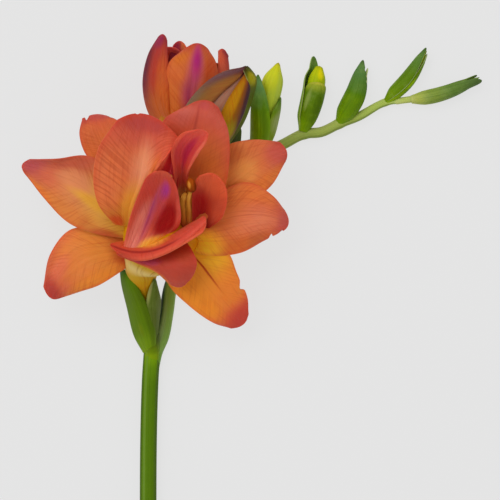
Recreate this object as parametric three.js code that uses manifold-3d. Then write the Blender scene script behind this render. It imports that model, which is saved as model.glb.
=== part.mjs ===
// A cut freesia stem lying on a surface: +Y runs along the stalk to the flowers, +X to the side where
// the spike of buds bends, +Z up. Millimetres. One semi-double flower is open, one is half open and
// one is coloured, and five more buds follow along the spike.
import * as THREE from "three";
import Module from "manifold-3d";

const wasm = await Module();
wasm.setup();

// ---- driving dimensions -------------------------------------------------------------------------
const STALK_RADIUS = 2.05;
const STALK_BELOW_JOINT = 124; // from the joint, where the first flower leaves, down to the cut
const STALK_LEAN = 0.6; // how far the cut end lies to the left of the joint
const SPIKE_TIP_RADIUS = 0.75;
const PETAL = 0.75; // thickness of a petal
const OUTER_WAVE = 0.4; // how far the edge of an outer tepal rises and falls
const INNER_WAVE = 0.5;
const BRACT = 0.65; // thickness of a bract
const OUTER_REACH = 118; // how far a bud's outer bract wraps it to each side, in degrees
const INNER_REACH = 100;
const BRACT_POINT = 2.2; // a larger value keeps a bud's bract broad further up
const BRACT_TIP = 0.004; // what is left of its width at its tip, squared
const GAP = 0.35; // air between pieces that touch on the plant
const OVERLAP = 0.2; // how far the outer bract of a bud stands out over the inner one
const ROD_SIDES = 12;
const BUD_SIDES = 10;
const PETAL_ROWS = 8; // of facets, from root to tip
const BRACT_ROWS = 7;
const COLUMNS = 5; // of facets, across a blade
const OUTER_COLUMNS = 4;
const INNER_COLUMNS = 6;

// ---- curves and skins ---------------------------------------------------------------------------
const point = ([x, y, z]) => new THREE.Vector3(x, y, z);
const curve = (points) => new THREE.CatmullRomCurve3(points.map(point), false, "centripetal");
const profile = (values) => new THREE.SplineCurve(values.map((v, i) => new THREE.Vector2(i, v)));
const UP = new THREE.Vector3(0, 0, 1);

// A closed surface through rings of points. Opposite points of a ring, first half against second,
// lie on the two faces of a blade, so both faces are split alike and each end is closed by a strip.
function skin(rings) {
  const n = rings[0].length;
  const half = n / 2;
  const index = [];
  for (let j = 0; j + 1 < rings.length; j++)
    for (let k = 0; k < n; k++) {
      const [a, b] = [j * n + k, j * n + ((k + 1) % n)];
      const [c, d] = [a + n, b + n];
      if (k < half) index.push(a, b, c, b, d, c);
      else index.push(a, b, d, a, d, c);
    }
  const last = (rings.length - 1) * n;
  for (let k = 0; k + 1 < half; k++) {
    const [p, q] = [n - 1 - k, n - 2 - k];
    index.push(k + 1, k, p, k + 1, p, q);
    index.push(last + k, last + k + 1, last + p, last + k + 1, last + q, last + p);
  }
  return new THREE.BufferGeometry().setFromPoints(rings.flat()).setIndex(index);
}

// The solid that a closed geometry bounds, turned outward.
function solid(geometry) {
  const triVerts = new Uint32Array(geometry.index.array);
  const vertProperties = new Float32Array(geometry.attributes.position.array);
  const made = new wasm.Manifold(new wasm.Mesh({ numProp: 3, vertProperties, triVerts }));
  if (made.volume() > 0) return made;
  for (let i = 0; i < triVerts.length; i += 3)
    [triVerts[i + 1], triVerts[i + 2]] = [triVerts[i + 2], triVerts[i + 1]];
  return new wasm.Manifold(new wasm.Mesh({ numProp: 3, vertProperties, triVerts }));
}

// A rod along a path, round or flattened, whose radius follows a list of values. extra widens it and
// lengthens it all round, which makes the tool that keeps a neighbour clear of it.
function rod({ path, radii, depth = 1, steps = 16, sides = ROD_SIDES, extra = 0 }) {
  const line = curve(path);
  const radius = profile(radii);
  const rings = [];
  for (let j = 0; j <= steps; j++) {
    const t = j / steps;
    const centre = line.getPoint(t);
    const along = line.getTangent(t);
    const side = new THREE.Vector3().crossVectors(along, UP).normalize();
    const rise = new THREE.Vector3().crossVectors(side, along);
    const r = radius.getPoint(t).y + extra;
    if (j === 0) centre.addScaledVector(along, -extra);
    if (j === steps) centre.addScaledVector(along, extra);
    rings.push(
      Array.from({ length: sides }, (_, k) => {
        const angle = ((k + 0.5) / sides) * 2 * Math.PI;
        return centre
          .clone()
          .addScaledVector(side, r * Math.cos(angle))
          .addScaledVector(rise, (r * depth + (1 - depth) * extra) * Math.sin(angle));
      }),
    );
  }
  return solid(skin(rings));
}

// A thin blade over a surface(t, s): t runs from root to tip and s from one edge, -1, to the other, 1.
function blade({ surface, thick = PETAL, rows = PETAL_ROWS, columns = COLUMNS }) {
  const step = 1e-3;
  const rings = [];
  for (let j = 0; j <= rows; j++) {
    const t = j / rows;
    const [top, under] = [[], []];
    for (let k = 0; k <= columns; k++) {
      const s = -1 + (2 * k) / columns;
      const at = surface(t, s);
      const along = surface(Math.min(t + step, 1), s).sub(surface(Math.max(t - step, 0), s));
      const across = surface(t, Math.min(s + step, 1)).sub(surface(t, Math.max(s - step, -1)));
      const out = new THREE.Vector3().crossVectors(across, along).normalize();
      top.push(at.clone().addScaledVector(out, thick / 2));
      under.push(at.clone().addScaledVector(out, -thick / 2));
    }
    rings.push([...top, ...under.reverse()]);
  }
  return solid(skin(rings));
}

// The surface through three rails: the two edges of a petal and its midrib, each from root to tip.
// wave lifts and drops the edges, more toward the tip.
function petal({ left, mid, right, wave = 0, waves = 2, ...rest }) {
  const [edge, rib, other] = [left, mid, right].map(curve);
  const surface = (t, s) => {
    const lift = wave * Math.abs(s) ** 3 * t * Math.sin((waves * t + s / 4) * 2 * Math.PI);
    return new THREE.Vector3(0, 0, lift)
      .addScaledVector(edge.getPoint(t), (s * (s - 1)) / 2)
      .addScaledVector(rib.getPoint(t), 1 - s * s)
      .addScaledVector(other.getPoint(t), (s * (s + 1)) / 2);
  };
  return blade({ surface, ...rest });
}

const join = (solids) => solids.reduce((all, one) => all.add(one));

// The largest body of a solid, without loose scraps or the walls of sealed hollows.
const whole = (body) => body.decompose().reduce((a, b) => (a.volume() > b.volume() ? a : b));

// ---- stalk and spike ----------------------------------------------------------------------------
// The stalk lies on the flat of its underside. A rod of 12 sides stands on one of them when its axis
// is this far up.
const STALK_UP = STALK_RADIUS * Math.cos(Math.PI / ROD_SIDES);
const STALK_PATH = [
  [-STALK_LEAN, -STALK_BELOW_JOINT, STALK_UP],
  [-STALK_LEAN, -84, STALK_UP],
  [-STALK_LEAN, -24, STALK_UP],
  [0, -8, STALK_UP],
  [0.5, 0, STALK_UP],
];
const SPIKE_PATH = [
  [0.5, -5, 1.85],
  [1.3, -0.6, 1.85],
  [2.9, 3.2, 1.75],
  [4.1, 9.1, 1.75],
  [4.85, 14.4, 1.75],
  [6.5, 20.4, 1.65],
  [8.8, 26.4, 1.6],
  [12.7, 32.4, 1.6],
  [18.7, 40.1, 1.5],
  [25.4, 46.1, 1.5],
  [32.2, 49.7, 1.5],
  [37, 52.1, 1.5],
  [41.3, 52.6, 1.5],
  [45.8, 54.7, 1.5],
  [50.4, 56.4, 1.5],
  [56.6, 59.7, 1.6],
  [60, 59.9, 1.7],
];
const stalkRod = { path: STALK_PATH, radii: [STALK_RADIUS, STALK_RADIUS], steps: 10 };
const spikeRod = {
  path: SPIKE_PATH,
  radii: [1.6, 1.75, 1.7, 1.45, 1.35, 1.3, 1.2, 1.15, 0.95, SPIKE_TIP_RADIUS],
  steps: 38,
  sides: 8,
};
const stem = join([rod(stalkRod), rod(spikeRod)]);
const stemClear = join([rod({ ...stalkRod, extra: GAP }), rod({ ...spikeRod, extra: GAP })]);

// ---- open flower --------------------------------------------------------------------------------
const TUBE = {
  path: [
    [0.7, 2.6, 5.2],
    [0, 7.2, 7],
    [-0.7, 12, 9.5],
    [-1.5, 15, 11.5],
    [-1.7, 17, 13],
    [-1.8, 19.7, 14.5],
    [-0.6, 22.4, 16.5],
    [1, 25.4, 18.8],
    [2.4, 27.8, 20.5],
    [4.2, 30.8, 22],
  ],
  radii: [1.2, 1.3, 1.6, 2.3, 3.1, 4.5, 6.2, 8.2, 9.4, 9.4],
  depth: 0.85,
  steps: 14,
  sides: 16,
};
const OUTER_TEPALS = [
  {
    // left
    left: [[-2.4, 34.8, 20], [-9.1, 43.7, 23], [-15.1, 46.6, 23], [-22.1, 45.9, 20], [-29, 45.9, 13]],
    mid: [[-3.6, 30.4, 17.5], [-12, 35.5, 20], [-18, 39.6, 20], [-24.5, 42.5, 16.5], [-30.9, 44.6, 10.5]],
    right: [
      [-4.6, 26.6, 17], [-13.4, 28, 19.5], [-19.4, 30.4, 19.5], [-25.3, 36.2, 16.5], [-30.5, 42.8, 11.5],
    ],
  },
  {
    // lower left
    left: [[-6.6, 28.5, 16.5], [-13.2, 29.5, 18], [-19.3, 28.8, 17.5], [-24, 23.1, 15], [-25.8, 15.2, 11]],
    mid: [[-5.3, 24, 16], [-10.6, 23.5, 17.5], [-16.3, 22.1, 18], [-21.1, 17.8, 15.5], [-24.3, 12.6, 10]],
    right: [[-3.8, 21.1, 15.5], [-7.2, 18.7, 16.5], [-12.2, 15.6, 17], [-17.3, 13.9, 14], [-22.2, 12.3, 10]],
  },
  {
    // upper left
    left: [[-4.5, 33, 18.5], [-11, 42.5, 21], [-15.3, 46.8, 22], [-16.9, 51.6, 21], [-16.3, 55.6, 18]],
    mid: [[-1, 32.5, 17.5], [-6.5, 44.5, 20], [-10.1, 50.4, 20.5], [-12, 54, 19.5], [-13, 56.6, 16.5]],
    right: [[3, 33, 18], [-1.2, 44.5, 20.5], [-4.8, 51.6, 21], [-7.7, 55, 20], [-10.1, 56, 17.5]],
  },
  {
    // upper right
    left: [[7.2, 38.4, 20], [13.9, 45.6, 22.5], [19, 49.3, 24], [25.2, 50.5, 21], [31, 50, 17]],
    mid: [[9.6, 34.8, 18.5], [16.8, 38.9, 21], [22.8, 43.2, 21.5], [28.3, 46.6, 19.5], [32.8, 47.8, 15.5]],
    right: [[11.5, 30.7, 18], [18, 33.6, 19.5], [24.2, 35.8, 20], [29.1, 39.5, 18.5], [32.5, 45.2, 15.5]],
  },
  {
    // right
    left: [[10.8, 34.8, 19.5], [17.3, 38.4, 22], [23.5, 40.3, 22], [29.3, 37.2, 18.5], [32.4, 33.4, 14]],
    mid: [[10.1, 29.3, 18], [16.3, 31, 20.5], [22.3, 32.2, 21], [28.1, 32.2, 18], [33.3, 30.7, 13]],
    right: [[8.4, 24, 17], [14.4, 22.6, 19], [21.6, 23.3, 18.5], [27.4, 26.3, 15.5], [32.2, 28.7, 13]],
  },
  {
    // lower right
    left: [[2.4, 22.1, 15], [4.6, 15.4, 16.5], [9.2, 10.7, 16.5], [14.7, 6.7, 13.5], [19.4, 5.1, 9]],
    mid: [[7.2, 24.5, 16], [11.5, 19.7, 17.5], [16.3, 13.9, 16.5], [20.2, 9.4, 12.5], [22.3, 6, 8]],
    right: [
      [12.7, 26.9, 17.5], [18.6, 23.6, 19.5], [20.9, 18.4, 17.5], [23.3, 12.9, 14.5], [23.6, 8.4, 9.5],
    ],
  },
];
const INNER_PETALS = [
  {
    // upright on the left
    left: [[-8.6, 30.2, 23], [-12.2, 34.8, 28], [-13.4, 40.8, 32], [-12, 48.4, 36], [-7.6, 55, 37]],
    mid: [[-5.6, 29.9, 22], [-5, 34.5, 26], [-2.8, 41.3, 30], [-1.7, 48.5, 33.5], [-0.3, 56.2, 37]],
    right: [[-3.4, 30, 23], [-2.2, 34.6, 29], [0.9, 41.8, 34], [4.4, 47, 36], [6.8, 51, 36]],
  },
  {
    // upright at the top
    left: [[-1, 32.5, 20], [0.5, 43.5, 25], [1.9, 50.9, 28], [3.6, 55.3, 30], [8.5, 58.1, 31]],
    mid: [[6, 30, 18.5], [9, 41, 24], [11, 49.2, 28.5], [12.5, 55.7, 31.5], [13.1, 59.8, 31.5]],
    right: [[11.5, 28.5, 20], [17.5, 37.5, 26], [19.1, 45.6, 29], [18.7, 52.8, 31], [16.6, 57.8, 31]],
  },
  {
    // lip over the tube, folded
    left: [[-3.8, 26.4, 21], [-7.7, 25.9, 26], [-9.4, 25.2, 29], [-7.7, 23.5, 30.5], [-5.8, 22.6, 30.5]],
    mid: [[1.2, 27.4, 20], [1.4, 25.4, 27], [1.7, 24, 30.5], [1.4, 22.6, 31.5], [1.2, 22, 31]],
    right: [[7.2, 28.8, 21], [11.3, 31.2, 29], [13.3, 31.9, 33], [13.6, 30.2, 34], [12.7, 28.1, 33.5]],
  },
  {
    // lobe under the lip
    left: [[-7.2, 25, 22], [-7.9, 23, 25], [-3.6, 21.1, 26.5], [1.2, 19, 26.5], [4.8, 15.8, 23.5]],
    mid: [[1.2, 25, 21], [1.4, 22.6, 26.5], [3.6, 20.2, 28.5], [5.5, 17.5, 27], [6.7, 15.1, 23]],
    right: [[8.4, 26.4, 22], [10.1, 24, 27], [11.3, 21.1, 28], [10.3, 17.8, 26], [8.4, 15.6, 23.5]],
  },
];
const PETALOIDS = [
  {
    // striped, over the throat
    left: [[-6.3, 24, 27], [-4.2, 31.2, 31.5], [-1.6, 37.4, 36], [0.1, 41.2, 39], [1.6, 42.7, 40]],
    mid: [[-2.4, 24.4, 27.5], [0.2, 29.4, 27.5], [2.5, 34.8, 31], [4, 39.1, 35.5], [3.6, 42.7, 39.5]],
    right: [[4.8, 27.5, 24], [7.3, 30.4, 28], [7.2, 35.5, 33], [6.4, 39.3, 37], [5, 41.9, 39]],
  },
  {
    // folded, at the top
    left: [[6, 37.9, 25], [5.8, 42.7, 33], [5.4, 48, 37], [7.7, 51.6, 38.5], [11.4, 52.7, 39.5]],
    mid: [[7.6, 37, 22], [7.8, 42.7, 30], [8.9, 47.3, 34.5], [10.9, 50.2, 37.5], [13.4, 52.3, 39.5]],
    right: [[8.9, 38.4, 24], [9.6, 43.2, 33], [11.8, 47, 37], [13.6, 49.7, 39], [14.1, 51.4, 40]],
  },
  {
    // slim, between those two
    left: [[0, 37.8, 26], [0.4, 41.2, 31.5], [2.2, 44, 34.5], [4, 46.4, 36], [5.4, 48.4, 37]],
    mid: [[3, 36.6, 24], [4, 40.4, 29], [4.8, 43.5, 31.5], [5.3, 46.1, 33.5], [5.9, 48.6, 36]],
    right: [[6.6, 37, 24], [7, 40.8, 29], [7.1, 43.7, 31.5], [6.8, 46.3, 33.5], [6.2, 48.6, 35.5]],
  },
  {
    // round, on the right
    left: [[10.2, 30.6, 20], [10.1, 34.8, 26], [10.4, 38.6, 30.5], [11.8, 41.5, 33.5], [13.9, 42.4, 34]],
    mid: [[12.4, 29.8, 18.5], [13.4, 33.4, 23], [14.3, 37, 28], [15, 40, 32], [15.5, 42.1, 34]],
    right: [[14.2, 29.2, 21], [17.2, 31.6, 27.5], [18.4, 35, 31.5], [18.4, 38.4, 33.5], [17.1, 40.9, 34]],
  },
];
const openFlower = join([
  rod(TUBE),
  ...OUTER_TEPALS.map((rails) => petal({ ...rails, columns: OUTER_COLUMNS, wave: OUTER_WAVE })),
  ...INNER_PETALS.map((rails) => petal({ ...rails, columns: INNER_COLUMNS, wave: INNER_WAVE })),
  ...PETALOIDS.map((rails) => petal({ ...rails, columns: OUTER_COLUMNS })),
]);

// The style and the one stamen in view beside it, with its anther. They are one at the foot.
const STYLE_RODS = [
  {
    path: [[8.2, 29.5, 24.5], [8, 33.2, 27], [8.1, 36, 28.8], [8.7, 37.6, 30]],
    radii: [0.7, 0.65, 0.6, 0.65],
    steps: 6,
    sides: 8,
  },
  {
    path: [[9.1, 29.7, 24.2], [9.5, 33.2, 27], [9.4, 35.8, 29.6], [10.1, 38.4, 32.4], [9.5, 41.2, 33.4]],
    radii: [0.7, 0.55, 0.55, 1.1, 0.7],
    steps: 10,
    sides: 8,
  },
];

// ---- half-open flower ---------------------------------------------------------------------------
const HALF_OPEN_TUBE = {
  path: [
    [8.4, 26.6, 4.4],
    [8.2, 36, 4.6],
    [7.9, 45.6, 6.2],
    [7.9, 50.4, 7.4],
    [7.9, 54.7, 8.2],
    [8.2, 58.1, 8.6],
  ],
  radii: [1.1, 1.4, 2.2, 3.8, 6, 7],
  steps: 12,
  sides: 14,
};
const HALF_OPEN_TEPALS = [
  {
    // left
    left: [[6.2, 49.9, 6], [0.4, 56.2, 7], [-1.8, 63.8, 7.5], [-0.6, 71.1, 8], [2, 75.6, 8.5]],
    mid: [[6.7, 50.4, 9.5], [2.6, 57.1, 12.5], [1, 63.8, 13.5], [1.7, 70.6, 12], [3.2, 76, 9.5]],
    right: [[8.2, 50.9, 11], [4.8, 57.1, 15.5], [4.6, 63.4, 16], [4.3, 69.1, 14], [4, 74.6, 11]],
  },
  {
    // centre
    left: [[5.3, 50.4, 10], [4.3, 56.6, 14.5], [3.8, 63.4, 15.5], [4.6, 69.1, 14.5], [8.6, 72.6, 12]],
    mid: [[8.2, 50.4, 11.5], [9.1, 57.1, 16.5], [9.8, 63.8, 17], [10.6, 69.6, 15.5], [11.3, 73.8, 12]],
    right: [[11.5, 50.4, 9], [14.6, 57.1, 13], [16.3, 63.4, 13.5], [15.8, 69, 12.5], [13.8, 72.5, 11]],
  },
  {
    // behind
    left: [[6.2, 50.9, 5], [3.8, 57.1, 6.5], [3.6, 63.8, 7], [4.1, 69.6, 7], [5.5, 73.5, 7.5]],
    mid: [[8.6, 50.9, 4], [7.4, 57.1, 4.5], [6.7, 63.8, 5], [7, 70.1, 6], [7.1, 74.5, 7]],
    right: [[11, 50.9, 4], [11, 57.1, 5.5], [10.1, 63.8, 6], [9.4, 69.6, 7], [8.5, 73.2, 7.5]],
  },
  {
    // right
    left: [[11, 50.4, 8], [14.4, 57.1, 11], [16.1, 63.4, 11.5], [16.3, 68.4, 10.5], [16.3, 72, 9]],
    mid: [[11.8, 50.4, 5.5], [16.6, 57.1, 7.5], [18.5, 63.4, 8.5], [18.6, 68.4, 8.5], [17.6, 72.5, 8.5]],
    right: [[11.5, 50.4, 3], [15.4, 57.1, 3.5], [17.3, 63.4, 4], [18.2, 68.2, 6], [18.8, 70.8, 8]],
  },
  {
    // under
    left: [[6.2, 50.4, 3.5], [1, 56.6, 3.5], [-0.5, 63.8, 4], [0.5, 69.1, 6.5], [3.4, 72.9, 9.4]],
    mid: [[8.2, 50.4, 2.2], [7.2, 57.1, 0.9], [6.5, 63.8, 0.7], [5.8, 69.1, 3], [4.9, 73, 9]],
    right: [[10.6, 50.4, 3], [13.4, 57.1, 2.4], [13.2, 63.8, 2.4], [11, 68.6, 3.6], [6.2, 72.8, 8]],
  },
  {
    // under, on the right
    left: [[7.7, 50.4, 2.6], [6.7, 57.1, 1.7], [6.2, 63.8, 1.6], [8.2, 67.2, 2.6], [13.4, 69.1, 5.5]],
    mid: [[9.6, 50.4, 2.6], [11.5, 57.1, 1.5], [12, 63.8, 1.8], [13.4, 67.2, 3], [15.4, 69.2, 6]],
    right: [[11.5, 50.4, 4], [15.8, 57.1, 4.8], [17, 63.8, 5.5], [17, 67.2, 6], [16.6, 69.1, 7]],
  },
];

// ---- buds ---------------------------------------------------------------------------------------
const COLOURED_BUD = {
  path: [
    [12.4, 32.9, 4.4],
    [11, 40.8, 9.5],
    [11.3, 47.5, 16],
    [13.4, 53.8, 20],
    [17.3, 60, 22],
    [20.6, 64.3, 22.2],
    [23.3, 67.8, 22],
  ],
  radii: [1.1, 1.5, 3.6, 6.5, 6, 4, 0.6],
  depth: 0.8,
  steps: 16,
  sides: 16,
};
const YELLOW_BUD = {
  path: [
    [25.4, 46.7, 4.2],
    [26.2, 50.4, 5],
    [27.4, 55.7, 5.8],
    [28.8, 61.2, 6.2],
    [30, 65.3, 6.2],
    [31, 69, 6.2],
  ],
  radii: [1, 1.9, 2.5, 2.6, 2.3, 0.5],
  steps: 12,
  sides: 12,
};

// A green bud stands on the spike at foot, is widest at middle and ends at tip. Its two bracts wrap
// it, and their length is a share of its own. Only the first bud shows its own tip between them: the
// younger ones are closed, so their bracts are one with them.
const BUD_SHAPE = [0.45, 0.85, 1, 0.9, 0.6, 0.12]; // shares of the radius, from foot to tip
const GREEN_BUDS = [
  {
    foot: [36.9, 52.8, 2.1],
    middle: [39.4, 61, 3.2],
    tip: [41, 68.8, 3.1],
    radius: 1.75,
    shape: [0.45, 0.85, 1, 0.97, 0.85, 0.35],
    outer: { facing: 198, length: 1.13 },
    inner: { facing: 55, length: 0.76 },
  },
  {
    foot: [45.6, 54.9, 1.8],
    middle: [49.2, 61.6, 2.8],
    tip: [51.4, 69.3, 2.6],
    radius: 2.2,
    outer: { facing: 120, length: 1 },
    inner: { facing: -35, length: 0.9 },
  },
  {
    foot: [56.5, 59.6, 1.8],
    middle: [62, 64.9, 2.2],
    tip: [66.5, 72, 2.6],
    radius: 1.65,
    outer: { facing: 140, length: 1 },
    inner: { facing: -15, length: 0.86 },
  },
  {
    foot: [59.6, 59.9, 1.8],
    middle: [69.4, 61.5, 2],
    tip: [79.4, 65.6, 2.6],
    radius: 1.45,
    outer: { facing: 50, length: 1 },
    inner: { facing: 200, length: 0.97 },
  },
];

const budRod = ({ foot, middle, tip, radius, shape = BUD_SHAPE }) => ({
  path: [foot, middle, tip],
  radii: shape.map((share) => share * radius),
  steps: 8,
  sides: BUD_SIDES,
});

// A bract wraps a rod: it starts at the rod's foot, covers a wedge of directions round it and
// narrows to a point past the share length of the rod.
function wrap(around, { facing, reach, length, lift }) {
  const line = curve(around.path);
  const radius = profile(around.radii);
  const surface = (t, s) => {
    const share = Math.min(t * length, 1);
    const along = line.getTangent(share);
    const side = new THREE.Vector3().crossVectors(along, UP).normalize();
    const rise = new THREE.Vector3().crossVectors(side, along);
    const open = reach * Math.sqrt(Math.max(1 - t ** BRACT_POINT, BRACT_TIP));
    const angle = THREE.MathUtils.degToRad(facing + s * open);
    const r = radius.getPoint(share).y + lift;
    return line
      .getPoint(share)
      .addScaledVector(along, Math.max(t * length - 1, 0) * line.getLength())
      .addScaledVector(side, r * Math.cos(angle))
      .addScaledVector(rise, r * Math.sin(angle));
  };
  return blade({ surface, thick: BRACT, rows: BRACT_ROWS });
}

// ---- bracts with a shape of their own -----------------------------------------------------------
const OPEN_FLOWER_BRACTS = [
  {
    // left
    left: [[-1.9, -0.8, 2], [-4.1, 3.4, 5], [-5.7, 10.1, 7.5], [-7, 15.8, 10.5], [-7.3, 18.9, 12.5]],
    mid: [[-0.2, -0.9, 3.6], [-1.6, 4.8, 8.8], [-3.4, 10.8, 11.6], [-5.3, 15.6, 13.4], [-6.4, 19.3, 14]],
    right: [[1.3, -0.6, 3.6], [1, 5.4, 9], [-0.9, 11.2, 12.2], [-3.4, 15.8, 14.4], [-5.5, 19.1, 13.8]],
  },
  {
    // right
    left: [[-0.2, 1.2, 4.8], [-0.6, 6, 9.4], [-1, 11, 12], [-0.2, 14.9, 14.4], [0.9, 17, 15.4]],
    mid: [[0.9, 0.8, 5], [1.1, 6.2, 9.2], [0.9, 11.4, 12], [0.9, 14.9, 13.8], [1.1, 17.1, 15.4]],
    right: [[1.8, 1.6, 3.6], [2.2, 7, 6.4], [2.5, 11.6, 9], [1.9, 14.6, 11.8], [1.3, 17, 15.2]],
  },
];

// The short sheath that each pair of bracts grows from.
const sheath = (path, radii) => rod({ path, radii, steps: 2, sides: BUD_SIDES });
const OPEN_FLOWER_SHEATH = sheath([[0.6, 1.6, 5], [0.2, 4.6, 6.2]], [2, 2.2]);
const YELLOW_BUD_SHEATH = sheath([[25.6, 47.6, 4.4], [26.1, 50.4, 5]], [2.6, 3]);

const COLOURED_BUD_BRACTS = [
  {
    // along the bud's right side
    left: [[18, 49.9, 17], [20.9, 54.7, 19], [22.9, 60, 20.6], [23.4, 63.8, 23.6], [22.4, 66.9, 25]],
    mid: [[18.9, 49.6, 14], [22.4, 54.9, 16], [24.4, 60.5, 17], [25, 64.5, 20.6], [23, 67.9, 24.4]],
    right: [[18.5, 49.1, 11], [22, 54.4, 12.5], [24.3, 60, 13.5], [25.1, 64.2, 17.6], [23.5, 68, 23.6]],
  },
  {
    // at its foot
    left: [[14, 40, 6], [16, 45, 10], [18.2, 49.9, 13.5], [21.1, 53, 15.5]],
    mid: [[15.5, 40, 4.5], [18.4, 45.1, 8.5], [20.4, 49.7, 12], [21.7, 53.3, 14.5]],
    right: [[15.5, 39, 3], [19.6, 44.5, 5.5], [21.5, 49.3, 9], [21.8, 52.8, 12.5]],
  },
];
const YELLOW_BUD_BRACTS = [
  {
    // front
    left: [[23.8, 46.1, 5], [24.1, 52.3, 6.6], [24.2, 57.6, 8], [24.5, 61.9, 9], [25.4, 65.2, 9.6]],
    mid: [[25.4, 46.1, 6.6], [25.9, 52.3, 9.6], [25.9, 57.6, 10.2], [26, 61.9, 10.2], [26, 65.9, 10]],
    right: [[27.1, 46.1, 5], [28.8, 52.3, 8.6], [28.6, 57.6, 9.6], [27.7, 61.9, 10.2], [26.6, 64.8, 10]],
  },
  {
    // behind
    left: [[25.6, 46.1, 5.6], [27.6, 50.8, 8], [28.6, 54.5, 8.9], [29.5, 57.4, 9.2], [31.3, 60.4, 8]],
    mid: [[26.6, 46.1, 3.6], [29.6, 51.4, 5.6], [30.7, 55.4, 6.4], [31.2, 58.2, 6.8], [31.4, 60.9, 7.2]],
    right: [[26.4, 46.1, 1.8], [28.8, 51, 2.2], [30, 55, 2.8], [30.7, 58, 4], [31.3, 60.7, 6]],
  },
];

// ---- the scene graph ----------------------------------------------------------------------------
const MATERIALS = {
  green: { color: 0x5d8f1f, roughness: 0.5 },
  bract: { color: 0x3f6b17, roughness: 0.55 },
  orange: { color: 0xd2592c, roughness: 0.55 },
  scarlet: { color: 0xc0492c, roughness: 0.55 },
  mauve: { color: 0xa86a32, roughness: 0.55 },
  yellow: { color: 0xb4bb22, roughness: 0.5 },
  gold: { color: 0xb98a2a, roughness: 0.6 },
};

const flower = new THREE.Group();

function add(name, body, finish) {
  const mesh = whole(body).getMesh();
  const geometry = new THREE.BufferGeometry();
  geometry.setAttribute("position", new THREE.BufferAttribute(mesh.vertProperties, mesh.numProp));
  geometry.setIndex(new THREE.BufferAttribute(mesh.triVerts, 1));
  geometry.computeVertexNormals();
  const material = new THREE.MeshStandardMaterial({ ...MATERIALS[finish], metalness: 0 });
  const piece = new THREE.Mesh(geometry, material);
  piece.name = name;
  flower.add(piece);
}

const tubeClear = rod({ ...TUBE, extra: GAP });
const styleClear = join(STYLE_RODS.map((part) => rod({ ...part, extra: GAP })));
const colouredClear = rod({ ...COLOURED_BUD, extra: GAP });
const yellowClear = rod({ ...YELLOW_BUD, extra: GAP });

add("stem", stem, "green");
add("open_flower", openFlower.subtract(stemClear).subtract(styleClear), "orange");
add("half_open_flower", join([
  rod(HALF_OPEN_TUBE),
  ...HALF_OPEN_TEPALS.map((rails) => petal({ ...rails, columns: OUTER_COLUMNS })),
]).subtract(stemClear).subtract(colouredClear), "scarlet");
add("coloured_bud", rod(COLOURED_BUD).subtract(stemClear), "mauve");
add("yellow_bud", rod(YELLOW_BUD).subtract(stemClear), "yellow");
add("open_flower_style", join(STYLE_RODS.map(rod)), "gold");
const bractBlade = (rails) => petal({ ...rails, thick: BRACT });
const openBracts = OPEN_FLOWER_BRACTS.map(bractBlade);
const openFoot = join([...openBracts, OPEN_FLOWER_SHEATH]);
add("open_flower_bracts", openFoot.subtract(tubeClear).subtract(stemClear), "bract");
const colouredBracts = COLOURED_BUD_BRACTS.map(bractBlade);
add("coloured_bud_bracts", join(colouredBracts).subtract(colouredClear).subtract(stemClear), "bract");
const yellowBracts = YELLOW_BUD_BRACTS.map(bractBlade);
const yellowFoot = join([...yellowBracts, YELLOW_BUD_SHEATH]);
add("yellow_bud_bracts", yellowFoot.subtract(yellowClear).subtract(stemClear), "bract");
const [firstBud, ...closedBuds] = GREEN_BUDS.map((bud) => ({ ...bud, core: budRod(bud) }));
const bractsOf = ({ core, outer, inner }, clear) => join([
  wrap(core, { ...outer, reach: OUTER_REACH, lift: clear + OVERLAP }),
  wrap(core, { ...inner, reach: INNER_REACH, lift: clear }),
]);
add("green_bud_1", rod(firstBud.core).subtract(stemClear), "yellow");
add("green_bud_1_bracts", bractsOf(firstBud, GAP + BRACT / 2).subtract(stemClear), "bract");
// The last two stand close, so each keeps clear of the one before it.
let before = stemClear;
closedBuds.forEach((bud, i) => {
  const body = rod(bud.core).add(bractsOf(bud, 0));
  add(`green_bud_${i + 2}`, body.subtract(stemClear).subtract(before), "bract");
  before = rod({ ...bud.core, extra: BRACT / 2 + OVERLAP + GAP });
});

// The origin is under the middle of the whole, on the surface it lies on.
const box = new THREE.Box3().setFromObject(flower);
const centre = box.getCenter(new THREE.Vector3());
flower.position.set(-centre.x, -centre.y, -box.min.z);

export default flower;
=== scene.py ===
"""A cut freesia stem, laid down: stalk, bent spike, open flower, half-open flower and buds."""

import logging
import math
from dataclasses import dataclass
from enum import Enum
from typing import Callable, Sequence

import bpy
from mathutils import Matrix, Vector, noise


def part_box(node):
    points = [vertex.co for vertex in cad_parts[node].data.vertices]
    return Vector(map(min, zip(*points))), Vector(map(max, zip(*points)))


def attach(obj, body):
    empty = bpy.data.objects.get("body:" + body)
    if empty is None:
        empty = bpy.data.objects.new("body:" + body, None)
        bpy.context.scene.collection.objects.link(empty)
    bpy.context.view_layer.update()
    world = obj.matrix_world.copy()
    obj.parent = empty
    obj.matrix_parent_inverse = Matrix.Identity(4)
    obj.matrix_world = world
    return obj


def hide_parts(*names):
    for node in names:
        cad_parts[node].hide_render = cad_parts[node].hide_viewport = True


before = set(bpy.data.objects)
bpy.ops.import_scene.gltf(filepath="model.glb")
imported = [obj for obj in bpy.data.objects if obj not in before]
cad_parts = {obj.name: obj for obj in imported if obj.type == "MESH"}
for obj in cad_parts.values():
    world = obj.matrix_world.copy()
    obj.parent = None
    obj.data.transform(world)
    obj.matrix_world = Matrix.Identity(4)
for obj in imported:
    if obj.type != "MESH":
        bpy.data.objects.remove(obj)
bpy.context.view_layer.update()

Point = tuple[float, float, float]
Surface = Callable[[float, float], Vector]
Socket = bpy.types.NodeSocket

LOG = logging.getLogger("freesia")
MM = 0.001
UP = Vector((0.0, 0.0, 1.0))

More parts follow.
